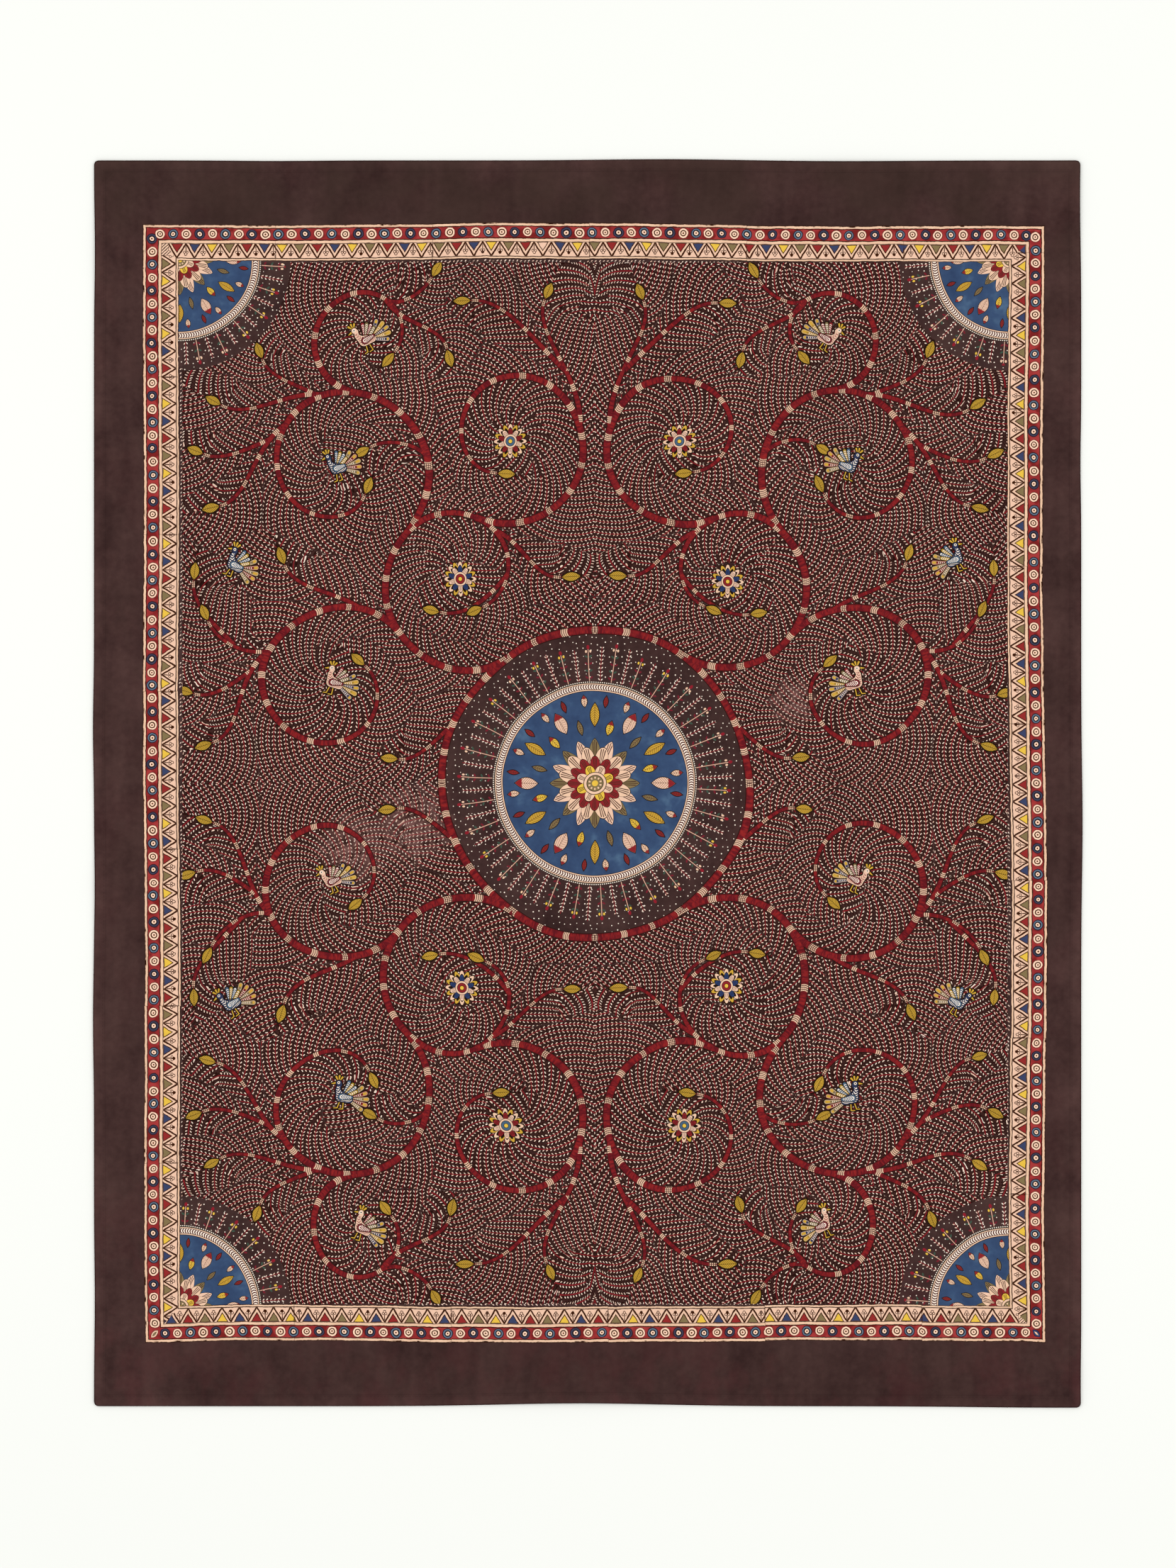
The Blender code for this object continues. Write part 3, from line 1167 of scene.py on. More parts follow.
def true_place(recipe, x, y, place):
    """Place on the printed frame as the blocks were cut, before it bowed and wobbled."""
    far_x = ((x - FRAME_LEFT / MM) / FRAME_WIDE).at_least(0.0).at_most(1.0)
    far_y = ((FRAME_TOP / MM - y) / FRAME_TALL).at_least(0.0).at_most(1.0)
    bow_x = frame_bow(far_y, RIGHT) * far_x - frame_bow(far_y, LEFT) * (1.0 - far_x)
    bow_y = frame_bow(far_x, TOP) * (1.0 - far_y) - frame_bow(far_x, BOTTOM) * far_y
    x = x + bow_x
    y = y + bow_y
    for period, reach in FRAME_WOBBLES:
        move_x, move_y = recipe.wobble(place, period)
        x = x + move_x * reach
        y = y + move_y * reach
    return x, y


def block_step(recipe, blocks, is_first, way):
    """How far a block was set down off its line."""
    return (recipe.chances(blocks.floor(), is_first, way)[0] - 0.5) * BLOCK_SLIP


def band_red(recipe, place):
    """Red dye of the band of discs, in three strengths."""
    bright = recipe.noise(place, 24.0, 2.0).above(0.5, 0.12)
    deep = recipe.noise(place, 17.0, 1.0).below(0.44, 0.1)
    return recipe.mix(bright, BAND_RED, BAND_RED_BRIGHT).coated(deep, BAND_RED_DEEP)


def border_material():
    """The printed frame: cream lines, a red band of discs, and a band of triangles."""
    recipe = Recipe("printed_border")
    plain_x, plain_y, place = recipe.place()
    x, y = true_place(recipe, plain_x, plain_y, place)
    across = x - FRAME_LEFT / MM
    down = FRAME_TOP / MM - y
    on_right = x > 0.0
    on_top = y > 0.0
    flat_side = between_sides(recipe, on_top, TOP, BOTTOM)
    upright_side = between_sides(recipe, on_right, RIGHT, LEFT)
    blocks_h = across / BLOCK_LENGTH + flat_side["joint_at"]
    blocks_v = down / BLOCK_LENGTH + upright_side["joint_at"]
    depth_h = down.at_most(y - FRAME_BOTTOM / MM) + block_step(recipe, blocks_h, on_top, 1.0)
    depth_v = across.at_most(FRAME_RIGHT / MM - x) + block_step(recipe, blocks_v, on_right, 2.0)
    depth = depth_h.at_most(depth_v)
    level = depth_h < depth_v
    side = {}
    for name, value in upright_side.items():
        side[name] = value + level * (flat_side[name] - value)

    paint = ground(recipe, plain_x, plain_y, place)
    paint = paint.coated(depth.between(-INK_OUT, FIELD_LINE_END + INK_IN, 0.6), FRAME_INK)
    in_band = depth.between(RED_BAND_START, RED_BAND_END, 0.4)
    paint = paint.coated(in_band, band_red(recipe, place))
    in_band = depth.between(RED_BAND_START - DISC_OVERHANG, RED_BAND_END + DISC_OVERHANG, 0.3)
    run = even_run(down, FRAME_TALL, upright_side, "disc")
    upright, upright_mask = disc_row(recipe, run, depth_v, upright_side, on_right + 3.0)
    run = even_run(across, FRAME_WIDE, flat_side, "disc")
    flat, flat_mask = disc_row(recipe, run, depth_h, flat_side, on_top + 7.0)
    paint = paint.coated(flat_mask * in_band * on_right, flat)
    paint = paint.coated(upright_mask * in_band, upright)
    paint = paint.coated(flat_mask * in_band * (1.0 - on_right), flat)
    paint = corner_eyes(paint, x, y)

    age = recipe.noise(place, 28.0, 3.0).above(0.5, 0.3)
    cream = recipe.mix(age, CREAM, CREAM_PINK)
    run = down + level * (across - down)
    run = even_run(run, level * (FRAME_WIDE - FRAME_TALL) + FRAME_TALL, side, "point")
    where = (level, on_top, on_right)
    paint = printed_triangles(recipe, paint, cream, run, across + down, depth, side, where)

    blocks = blocks_v + level * (blocks_h - blocks_v)
    from_joint = abs((blocks + 0.5).fract() - 0.5) * BLOCK_LENGTH
    overprint = recipe.noise(place, 4.0, 2.0, 0.7).above(0.42, 0.2)
    overprint = overprint * from_joint.below(OVERPRINT_HALF, 0.5)
    overprint = overprint * depth.between(TRIANGLE_START, TRIANGLE_END)
    paint = paint.coated(overprint * 0.85, POINT_INK)
    eaten = recipe.noise(place, 16.0, 2.0, 0.6).above(0.60, 0.1)
    eaten = eaten * depth.below(EATEN_DEPTH, 0.9)
    lines = depth.between(OUTER_LINE_START, OUTER_LINE_END, 0.5) * (1.0 - eaten)
    lines = lines + depth.between(INNER_LINE_START, INNER_LINE_END, 0.5)
    lines = lines + depth.between(FIELD_LINE_START, FIELD_LINE_END, 0.5)
    lines = lines * (1.0 - from_joint.below(0.5 * JOINT_WIDTH) * JOINT_WEAR)
    paint = paint.coated(lines, recipe.mix(age, LINE_CREAM, LINE_CREAM_DEEP))
    paint = field_edge(recipe, paint, (plain_x, plain_y, place), run, depth, level)
    return finish(recipe, paint.clouded(place, 0.9, 0.2), place, x, y)


def field_edge(recipe, paint, where, run, depth, level):
    """What the field shows beside the frame: a last row of small leaves, and the roundels."""
    x, y, place = where
    in_field = depth.above(FIELD_START, 0.4)
    off_line = depth - LAST_LEAVES_DEPTH
    leaves, _, chance = leaf_pairs(recipe, run, off_line, LAST_LEAVES_WIDTH, level + 11.0)
    leaves = leaves * in_field * (chance * 7.0).fract().above(0.2, 0.1)
    paint = paint.coated(leaves * 0.9, recipe.mix(chance * 0.8, LEAF_PALE, LEAF_PINK))
    corner_x = HALF_W / MM - abs(x - FIELD_X / MM)
    corner_y = HALF_L / MM - abs(y - FIELD_Y / MM)
    by_corner = in_field * (span(corner_x, corner_y) < (CORNER_CLEAR - CORNER_TRIM) / MM)
    bare = recipe.mix(by_corner, paint, GROUND_PALE)
    return recipe.mix(by_corner, paint, roundels(recipe, bare, x, y, place))


# Almond shapes in the lower corners of the frame, in millimetres: half their breadth, how fast
# they narrow towards their points, how far they stand below the middle of the discs, and how
# deep inside them each layer of colour starts
EYE_HALF = 3.7
EYE_NARROWING = 0.075
EYE_DROP = 1.0
EYE_LAYERS = (-0.7, 0.0, 2.0, 2.5)


def corner_eyes(paint, x, y):
    """The almond shape that ends the row of discs in each lower corner of the frame."""
    eyes = (
        (FRAME_LEFT / MM + DISC_DEPTH, -1.0, CREAM, OLIVE),
        (FRAME_RIGHT / MM - DISC_DEPTH, 1.0, NAVY, CREAM),
    )
    for middle, lean, outside, inside in eyes:
        u = (x - middle) * np.sqrt(0.5)
        v = (y - (FRAME_BOTTOM / MM + DISC_DEPTH - EYE_DROP)) * np.sqrt(0.5)
        along = u - v * lean
        across = u + v * lean
        reach = EYE_HALF - abs(across) - along * along * EYE_NARROWING
        for start, colour in zip(EYE_LAYERS, (INK, outside, INK, inside)):
            paint = paint.coated(reach.above(start, 0.4), colour)
    return paint


# Finials, in millimetres from the middle of their gap and in from the bases of the triangles:
# the stalk, a side lobe and the drop on top, which is a little longer than wide
FINIAL_STALK_HALF = 0.65
FINIAL_STALK = (3.6, 10.8)
LOBE_ASIDE = 2.0
LOBE_DEEP = 12.4
LOBE_REACH = 1.7
DROP_DEEP = 15.2
DROP_SQUEEZE = 0.9
DROP_REACH = 1.9


def finial(beside, deep, chance):
    """A stalk with two side lobes and a drop, in outline, the drop filled in at a chance."""
    stalk = beside.below(FINIAL_STALK_HALF, 0.4) * deep.between(*FINIAL_STALK, 0.6)
    lobe = LOBE_REACH - span(beside - LOBE_ASIDE, deep - LOBE_DEEP)
    drop = DROP_REACH - span(beside, (deep - DROP_DEEP) * DROP_SQUEEZE)
    outline = lobe.at_least(drop).between(-0.45, 0.5, 0.4)
    solid = drop.above(0.0, 0.4) * chance.above(0.6, 0.1)
    return stalk.at_least(outline).at_least(solid)


def printed_triangles(recipe, paint, cream, run, hatch, depth, side, where):
    """Coloured triangles with their bases outwards, a cream zigzag and a finial in each gap.

    The print leaves one triangle of the top side blank, and the corners that no colour reaches
    are filled with short strokes.
    """
    level, on_top, on_right = where
    pitch = side["point_pitch"]
    share = (run - side["point_first"]) / pitch + 0.5
    number = share.floor()
    aside = abs(share.fract() - 0.5) * pitch
    chance, _, _ = recipe.chances((share + 0.5).floor(), level, 9.0)
    inward = (depth - TRIANGLE_START) / (TRIANGLE_END - TRIANGLE_START)
    slant = ((pitch * 0.5) * (1.0 - inward) - aside) * SLANT_SHARE
    first_two = (1.0 - level) * (1.0 - on_right) * (number < 1.5)
    past_blank = level * on_top * (number > BLANK_POINT)
    turn = side["point_way"] * (number - past_blank) + side["point_start"]
    turn = turn % COLOURS_IN_TURN
    turn = turn + first_two * (3.0 - number - turn)
    fill = recipe.mix(turn.above(0.5, 0.1), POINT_RED, POINT_NAVY)
    fill = fill.coated(turn.above(1.5, 0.1), YELLOW)
    fill = fill.coated(turn.above(2.5, 0.1), OLIVE)
    unprinted = level * on_top * abs(number - BLANK_POINT).below(0.5, 0.1)
    fill = fill.coated(unprinted, CREAM_PINK)
    band = depth.between(TRIANGLE_START, TRIANGLE_END, 0.5)
    paint = paint.coated(band, CREAM_PINK)
    paint = paint.coated(band * slant.between(-1.4, 1.05, 0.4), POINT_INK)
    paint = paint.coated(band * slant.above(ZIGZAG_START, 0.4), cream)
    paint = paint.coated(band * slant.above(ZIGZAG_END, 0.4), POINT_INK)
    filled = band * slant.above(FILL_START, 0.4) * depth.above(TRIANGLE_START + 0.9)
    paint = paint.coated(filled, fill)

    drawn = finial(pitch * 0.5 - aside, depth - TRIANGLE_START, chance)
    paint = paint.coated(band * drawn * (slant < -1.2), POINT_INK)

    open_corner = on_top * (1.0 - on_right) * (number < 0.0)
    open_corner = open_corner.at_least((1.0 - on_top) * on_right * level * (number > LAST_POINT))
    paint = paint.coated(band * open_corner, cream)
    strokes = (hatch / STROKE_PITCH).fract().below(0.36, 0.14)
    return paint.coated(band * open_corner * strokes * slant.above(-4.0, 1.0), INK)


# Rows of leaves, in millimetres: the distance between rows along their stem, the closest that
# rows may stand, and the little leaves on them, with the share of the row's width that they
# stand off its line, and how far each may shift, rise and swing from its even place. Then the
# stems: half their breadth at the tip, how it grows and where it stops, the seam between the
# rows of two stems, where the rows end beside the frame, and the bands on the stems
ROW_PITCH = 13.2
ROW_CLOSEST = 7.4
LEAF_PITCH = 5.8
LEAF_TILT = 38.0
LEAF_LENGTH = 3.7
LEAF_BREADTH = 1.56
LEAF_OFF_LINE = 0.215
LEAF_SHIFT = 0.8
LEAF_RISE = 0.5
LEAF_SWING = 0.45
STEM_TIP = 2.2
STEM_GROWTH = 0.0098
STEM_MOST = 5.2
SEAM_BREADTH = 0.8
SEAM_LEAST = 0.45
FIELD_INSET = 3.9
BAND_PITCH = 44.0
BAND_LENGTH = 9.4
STRIPE_PITCH = 2.7
KNOT_PITCH = 2.7


def leaf_pairs(recipe, along, aside, width, row):
    """Little leaves in pairs on both sides of a line, tilted forwards and away from it.

    Gives masks of the leaves and of their dark outlines, and a chance that belongs to each leaf.
    """
    share = along / LEAF_PITCH
    number = share.floor()
    side = aside > 0.0
    slip, rise, tilt = recipe.chances(row, number, side)
    ahead = (share.fract() - 0.5) * LEAF_PITCH + (slip - 0.5) * LEAF_SHIFT
    up = abs(aside) - width * LEAF_OFF_LINE + (rise - 0.5) * LEAF_RISE
    angle = np.radians(LEAF_TILT) + (tilt - 0.5) * LEAF_SWING
    cosine = angle.cos()
    sine = angle.sin()
    length = (ahead * cosine + up * sine) * (2.0 / LEAF_LENGTH)
    breadth = (up * cosine - ahead * sine) * (2.0 / LEAF_BREADTH)
    reach = span(length, breadth) / (width * 0.03 + 0.6)
    return reach.below(1.06, 0.25), reach.below(2.6, 1.0), rise


# Loose dots, and the veins of the big leaf and of the leaves round the lotus, in millimetres
DOT_PITCH = 9.6
BIG_LEAF_HALF = 6.4
VEIN_SLANT = 0.9
VEIN_PITCH = 2.7
RING_VEIN_PITCH = 3.4


def dots(recipe, x, y):
    """Small cream dots, one at a loose place in each cell of a grid."""
    column = x / DOT_PITCH
    line = y / DOT_PITCH
    slip, rise, size = recipe.chances(column.floor(), line.floor(), 4.0)
    aside = (column.fract() - 0.22 - slip * 0.56) * DOT_PITCH
    up = (line.fract() - 0.22 - rise * 0.56) * DOT_PITCH
    return span(aside, up).below(0.5 + size * 0.45, 0.4)


def big_leaf(recipe, paint, along, across, kind):
    """A mustard leaf with its veins, lying along its own axis."""
    half = BIG_LEAF_LENGTH / MM / 2.0
    share = abs(along) / half
    edge = (1.0 - share * share).at_least(0.0) * BIG_LEAF_HALF
    inside = edge - abs(across)
    veins = ((along + abs(across) * VEIN_SLANT) / VEIN_PITCH).fract().below(0.34, 0.14)
    rib = abs(across).below(0.45, 0.3)
    tone = recipe.chances(kind, 3.0)[0]
    fill = recipe.mix(tone * 0.5, MUSTARD, MUSTARD_GREEN)
    fill = fill.coated(veins.at_least(rib) * 0.85, BIG_LEAF_VEIN)
    near = inside.above(-2.2, 0.8) * abs(along).below(half + 2.0, 0.8)
    paint = paint.coated(near, INK)
    stalk = abs(across).below(0.7, 0.4) * along.between(-half - 3.0, -half + 2.0, 0.5)
    paint = paint.coated(stalk, STEM_RED)
    return paint.coated(inside.above(0.25, 0.5), fill)


def petal_ring(turn, away, count, shift, inner, outer, power):
    """Depth inside a ring of petals, the number of the petal, and the share off its rib."""
    share = turn * count + shift
    aside = abs(share.fract() - 0.5) * 2.0
    return outer - aside**power * (outer - inner) - away, share.floor(), aside


# Rings of a rosette: petals, shift, where they part, where they end, and how round they are
OUTER_PETALS = (16.0, 0.5, 18.0, 25.0, 1.8)
INNER_PETALS = (10.0, 0.0, 11.0, 18.5, 2.2)


def rosette(recipe, paint, x, y, odd):
    """A round flower of two rings of petals about a yellow eye."""
    away = span(x, y)
    turn = recipe.maths("ARCTAN2", y, x) / (2.0 * np.pi)
    outer_gap, outer_number, _ = petal_ring(turn, away, *OUTER_PETALS)
    inner_gap, inner_number, _ = petal_ring(turn, away, *INNER_PETALS)
    paint = paint.coated(outer_gap.above(-1.8, 0.8), INK)
    outer_fill = recipe.in_turn(outer_number, CREAM, MUSTARD)
    paint = paint.coated(outer_gap.between(0.3, 4.6, 0.5), outer_fill)
    paint = paint.coated(inner_gap.above(-0.9, 0.4), INK)
    first = recipe.mix(odd, NAVY, RED)
    inner_fill = recipe.in_turn(inner_number, first, CREAM_PINK)
    paint = paint.coated(inner_gap.above(0.3, 0.4), inner_fill)
    hatch = (turn * 48.0).fract().below(0.3, 0.1) * away.between(11.0, 16.0)
    paint = paint.coated(hatch, INK)
    heart = recipe.mix(odd, RED, STEEL)
    eye = ((10.4, INK), (9.6, CREAM), (7.4, INK), (6.6, heart), (3.4, INK), (2.7, YELLOW))
    return paint.discs(away, eye)


BIRD_SCALE = 1.15
BIRD_RIM = 0.8
TAIL = (
    # from x, from y, breadth there, to x, to y, breadth there
    (-4.0, -1.0, 1.4, -19.0, 16.5, 2.9),
    (-4.0, -1.0, 1.4, -25.0, 10.5, 2.9),
    (-4.0, -1.0, 1.4, -28.5, 3.6, 2.9),
    (-4.0, -1.0, 1.4, -28.0, -3.8, 2.9),
    (-4.0, -1.0, 1.4, -23.5, -10.5, 2.9),
)
RAISED = (
    (1.5, 3.0, 2.2, -1.5, 20.5, 2.0),
    (0.5, 2.5, 2.2, -6.5, 18.5, 2.0),
    (-0.5, 2.0, 2.2, -10.5, 15.0, 2.0),
    (-1.5, 1.5, 2.2, -13.0, 10.5, 2.0),
)
BODY = (
    (-6.0, -1.0, 4.6, 4.5, 0.5, 6.6),
    (6.5, 2.5, 5.0, 10.5, 9.5, 2.8),
    (10.5, 9.5, 2.8, 9.5, 15.5, 2.5),
    (9.5, 15.5, 2.8, 11.0, 17.2, 3.5),
)
FOLDED = (3.5, 0.5, 4.2, -8.5, 2.0, 1.8)
LIMBS = (
    (0.0, -6.0, 0.6, -1.5, -14.5, 0.6),
    (-1.5, -14.5, 0.6, 3.0, -15.5, 0.5),
    (4.5, -6.0, 0.6, 5.5, -14.5, 0.6),
    (5.5, -14.5, 0.6, 9.5, -15.5, 0.5),
    (10.5, 20.0, 0.4, 8.0, 25.0, 1.2),
    (11.5, 20.0, 0.4, 12.0, 26.0, 1.2),
    (12.5, 20.0, 0.4, 16.0, 24.5, 1.2),
    (14.0, 17.0, 1.5, 19.5, 15.0, 0.4),
)
KINDS_OF_BIRD = (
    # tail, other tail feathers, raised wing, other feathers there, body, folded wing
    (FEATHER_NAVY, MUSTARD_GREEN, RED, OLIVE, CREAM_PINK, RED_DEEP),
    (OLIVE, RED_DEEP, STEEL, MUSTARD_GREEN, FEATHER_NAVY, STEEL),
)


def tapered(x, y, part):
    """Depth inside a rod with round ends whose breadth changes, and the way along it."""
    from_x, from_y, from_breadth, to_x, to_y, to_breadth = part
    long_x = to_x - from_x
    long_y = to_y - from_y
    square = long_x**2 + long_y**2
    u = x - from_x
    v = y - from_y
    share = (u * (long_x / square) + v * (long_y / square)).at_least(0.0).at_most(1.0)
    u = u - share * long_x
    v = v - share * long_y
    breadth = share * (to_breadth - from_breadth) + from_breadth
    return breadth - span(u, v), share * float(np.sqrt(square))


def bird(recipe, paint, x, y, odd):
    """A long-tailed bird with a raised wing, drawn as banded rods with dark outlines."""
    x = x / BIRD_SCALE
    y = y / BIRD_SCALE
    tail, tail_too, raised, raised_too, body, folded = (
        recipe.mix(odd, *pair) for pair in zip(*KINDS_OF_BIRD)
    )
    tail_rods = [tapered(x, y, part) for part in TAIL]
    raised_rods = [tapered(x, y, part) for part in RAISED]
    body_rods = [tapered(x, y, part) for part in BODY]
    limb_rods = [tapered(x, y, part) for part in LIMBS]
    whole = None
    for inside, _ in tail_rods + raised_rods + body_rods + limb_rods:
        whole = inside if whole is None else whole.at_least(inside)
    paint = paint.coated(whole.above(-1.5, 0.5), INK)
    for number, (inside, along) in enumerate(tail_rods):
        paint = paint.outlined(inside, BIRD_RIM, tail_too if number % 2 else tail)
        edge = inside.between(0.6, 1.0, 0.25) * along.above(3.0, 0.5)
        paint = paint.coated(edge, CREAM)
        ribs = (along / 2.4).fract().below(0.3, 0.1) * inside.above(1.3, 0.3)
        paint = paint.coated(ribs * along.below(19.0, 0.5), CREAM_COOL)
        eye = inside.above(1.3, 0.3) * along.above(20.5, 0.5)
        paint = paint.coated(eye, MUSTARD)
    for inside, _ in limb_rods:
        paint = paint.coated(inside.above(0.0, 0.3), MUSTARD)
    for number, (inside, along) in enumerate(raised_rods):
        paint = paint.outlined(inside, BIRD_RIM, raised_too if number % 2 else raised)
        bands = ((along - inside * 0.8) / 2.5).fract().below(0.36, 0.1)
        paint = paint.coated(bands * inside.above(0.5, 0.3), CREAM_COOL)
    inside = body_rods[0][0]
    for other, _ in body_rods[1:]:
        inside = inside.at_least(other)
    paint = paint.outlined(inside, BIRD_RIM, body)
    scales = ((x * 0.5 + y * 0.86 + inside * 0.7) / 2.7).fract().below(0.36, 0.1)
    scales = scales * inside.above(0.9, 0.3) * y.below(13.0, 0.3)
    paint = paint.coated(scales, recipe.mix(odd, RED, CREAM_COOL))
    inside, along = tapered(x, y, FOLDED)
    paint = paint.outlined(inside, BIRD_RIM, folded)
    bands = ((along - inside * 0.8) / 2.4).fract().below(0.4, 0.1)
    paint = paint.coated(bands * inside.above(0.6, 0.3), CREAM_COOL)
    eye_x = x - 11.3
    eye_y = y - 17.6
    eye = span(eye_x, eye_y)
    paint = paint.coated(eye.below(1.7, 0.3), CREAM_COOL)
    return paint.coated(eye.below(0.9, 0.3), INK)


def stem_gap(aside, end):
    """Distance outside a stem that swells from its round tip, and half its breadth there."""
    half = (end * STEM_GROWTH + STEM_TIP).at_least(STEM_TIP).at_most(STEM_MOST)
    return span(aside, (-end).at_least(0.0)) - half, half


def nearer_stem(recipe):
    """Place beside the nearer of a face's two stems.

    Gives the distance along the stem and from it, the distance to its tip, how much closer the
    rows stand, the length of a row up to here, and the distance from the seam between the rows
    of the two stems.
    """
    near = recipe.attribute("near_stem")
    far = recipe.attribute("far_stem")
    near_gap, _ = stem_gap(*near[2:])
    far_gap, _ = stem_gap(*far[2:])
    swap = far_gap < near_gap
    opening = recipe.attribute("seam_shape")[0]
    seam = abs(far_gap - near_gap) - opening * SEAM_BREADTH
    seam = seam + (opening < SEAM_LEAST) * FAR_AWAY
    left, right, aside, end = (a + swap * (b - a) for a, b in zip(near, far))
    closer, far_closer, length, far_length = recipe.attribute("row_shape")
    closer = closer + swap * (far_closer - closer)
    length = length + swap * (far_length - length)
    run = right + (aside > 0.0) * (left - right)
    return run, aside, end, closer, length, seam


def leaf_rows(recipe, paint, place, shown, stem):
    """Rows of small leaves on fine red lines, which lean away from their stem and bend over.

    Where the rows stand too close they merge in pairs, so their number halves at each step of
    the logarithm of their tightness.
    """
    run, aside, _, closer, length, _ = stem
    depth = abs(aside)
    slope = depth * (ROW_BEND * MM) + ROW_LEAN
    lean = depth * (depth * (0.5 * ROW_BEND * MM) + ROW_LEAN)
    tightness = span(slope, closer)
    wavy, patchy = recipe.wobble(place, 30.0)
    level = recipe.maths("LOGARITHM", tightness * (ROW_CLOSEST / ROW_PITCH), 2.0)
    merged = recipe.maths("POWER", 2.0, (level + patchy * 0.5 + 1.0).floor())
    share = (run - lean) / ROW_PITCH / merged
    number = (share + 0.5).floor()
    row = number * merged * 2.0 + (aside > 0.0)
    width = merged * ROW_PITCH / tightness
    off_line = (share - number) * width
    start, strength, _ = recipe.chances(row, 5.0)
    along = length + off_line * slope / closer + start * LEAF_PITCH
    off_line = off_line + wavy * 1.6
    leaves, outlines, chance = leaf_pairs(recipe, along, off_line, width, row)

    paint = paint.coated(shown * 0.6, ROW_GROUND)
    paint = paint.coated(shown * outlines * 0.86, ROW_INK)
    line = abs(off_line).below(0.6, 0.5) * (strength * 0.25 + 0.75)
    paint = paint.coated(shown * line, ROW_RED)
    leaf_colour = recipe.mix(chance * 0.8, LEAF_PALE, LEAF_PINK)
    cover = (chance * 5.0).fract() * 0.14 + 0.84
    return paint.coated(shown * leaves * cover, leaf_colour)


def stem_paint(recipe, stem, out, half):
    """Streaked red of a stem, with a darker edge and bands of cream stripes and knots."""
    _, aside, end, *_ = stem
    streak = recipe.noise(recipe.vector(end * 1.5, aside * 0.4, 2.0), 5.0, 2.0, 0.7)
    red = recipe.mix(recipe.step(streak, 0.42, 0.66, 0.0, 1.0), STEM_RED, STEM_BRIGHT)
    red = red.coated(recipe.step(streak, 0.5, 0.34, 0.0, 0.8), STEM_EDGE)
    red = red.coated((out / half).above(-0.26, 0.3) * 0.6, STEM_EDGE)
    share = (end + aside * aside * 0.05) / BAND_PITCH
    at = share.fract() * BAND_PITCH
    longer, plain, _ = recipe.chances(share.floor(), 0.0, 6.0)
    banded = at.below(longer * 4.0 + BAND_LENGTH - 2.0, 0.3)
    stripe = (at / STRIPE_PITCH).fract().below(0.6, 0.1)
    knot = (aside / KNOT_PITCH).fract().below(0.72, 0.1).at_least(plain.above(0.45, 0.1))
    red = red.coated(banded * 0.85, STEM_BAND)
    return red.coated(banded * stripe * knot * 0.95, CREAM)


def vine_material(name, figures):
    """The field: stems, rows of small leaves and big leaves on the dark ground, and figures."""
    recipe = Recipe(name)
    x, y, place = recipe.place()
    paint = ground(recipe, x, y, place)
    stem = nearer_stem(recipe)
    seam = stem[-1]
    out, half = stem_gap(*stem[1:3])

    field_x = abs(x - FIELD_X / MM)
    field_y = abs(y - FIELD_Y / MM)
    corner_x = HALF_W / MM - field_x
    corner_y = HALF_L / MM - field_y
    past_ring = span(field_x, field_y) > RING_RADIUS / MM
    open_field = past_ring * (span(corner_x, corner_y) > CORNER_CLEAR / MM)
    inside = corner_x.at_most(corner_y).above(FIELD_INSET, 0.4)
    shown = out.above(1.1, 0.3) * inside * open_field * seam.above(0.0, 0.6)
    paint = leaf_rows(recipe, paint, place, shown, stem)
    paint = paint.coated((1.0 - open_field) * dots(recipe, x, y), CREAM_COOL)
    paint = paint.coated(worn_patches(recipe, x, y, place) * 0.5, GROUND_WORN)
    paint = paint.coated(out.below(1.0, 0.5), INK)
    paint = paint.coated(out.below(0.0, 0.4), stem_paint(recipe, stem, out, half))

    leaf_u, leaf_v, leaf_kind, _ = recipe.attribute("big_leaf")
    paint = big_leaf(recipe, paint, leaf_u, leaf_v, leaf_kind)
    if figures:
        u, v, _, kind = recipe.attribute("figure")
        odd = kind % 2.0
        flower = rosette(recipe, paint, u, v, odd)
        paint = recipe.mix(kind > 1.5, flower, bird(recipe, paint, u, v, odd))
    broad = recipe.noise(place, 160.0, 2.0, 0.6)
    cloudy = recipe.noise(place, 5.0, 2.0, 0.7)
    return finish(recipe, paint.times(cloudy * 0.24 + broad * 0.32 + 0.70), place, x, y)


WORN_PLACES = (
    # across, along, reach
    (-255.0, -60.0, 70.0),
    (-343.0, -94.0, 60.0),
    (300.0, 120.0, 40.0),
)


def worn_patches(recipe, x, y, place):
    """Rubbed and faded places, broken up by the weave's own unevenness."""
    total = None
    for across, along, reach in WORN_PLACES:
        u = (x - across) / reach
        v = (y - along) / reach
        patch = (1.0 - (u * u + v * v)).at_least(0.0)
        total = patch if total is None else total.at_least(patch)
    broken = recipe.noise(place, 13.0, 3.0, 0.7)
    return (total * broken.above(0.5, 0.25)).at_most(1.0)


def roundel_material():
    """The roundels and the plain dyed cloth between their stalks."""
    recipe = Recipe("painted_roundel")
    x, y, place = recipe.place()
    paint = roundels(recipe, ground(recipe, x, y, place), x, y, place)
    return finish(recipe, paint.clouded(place, 0.88, 0.24), place, x, y)


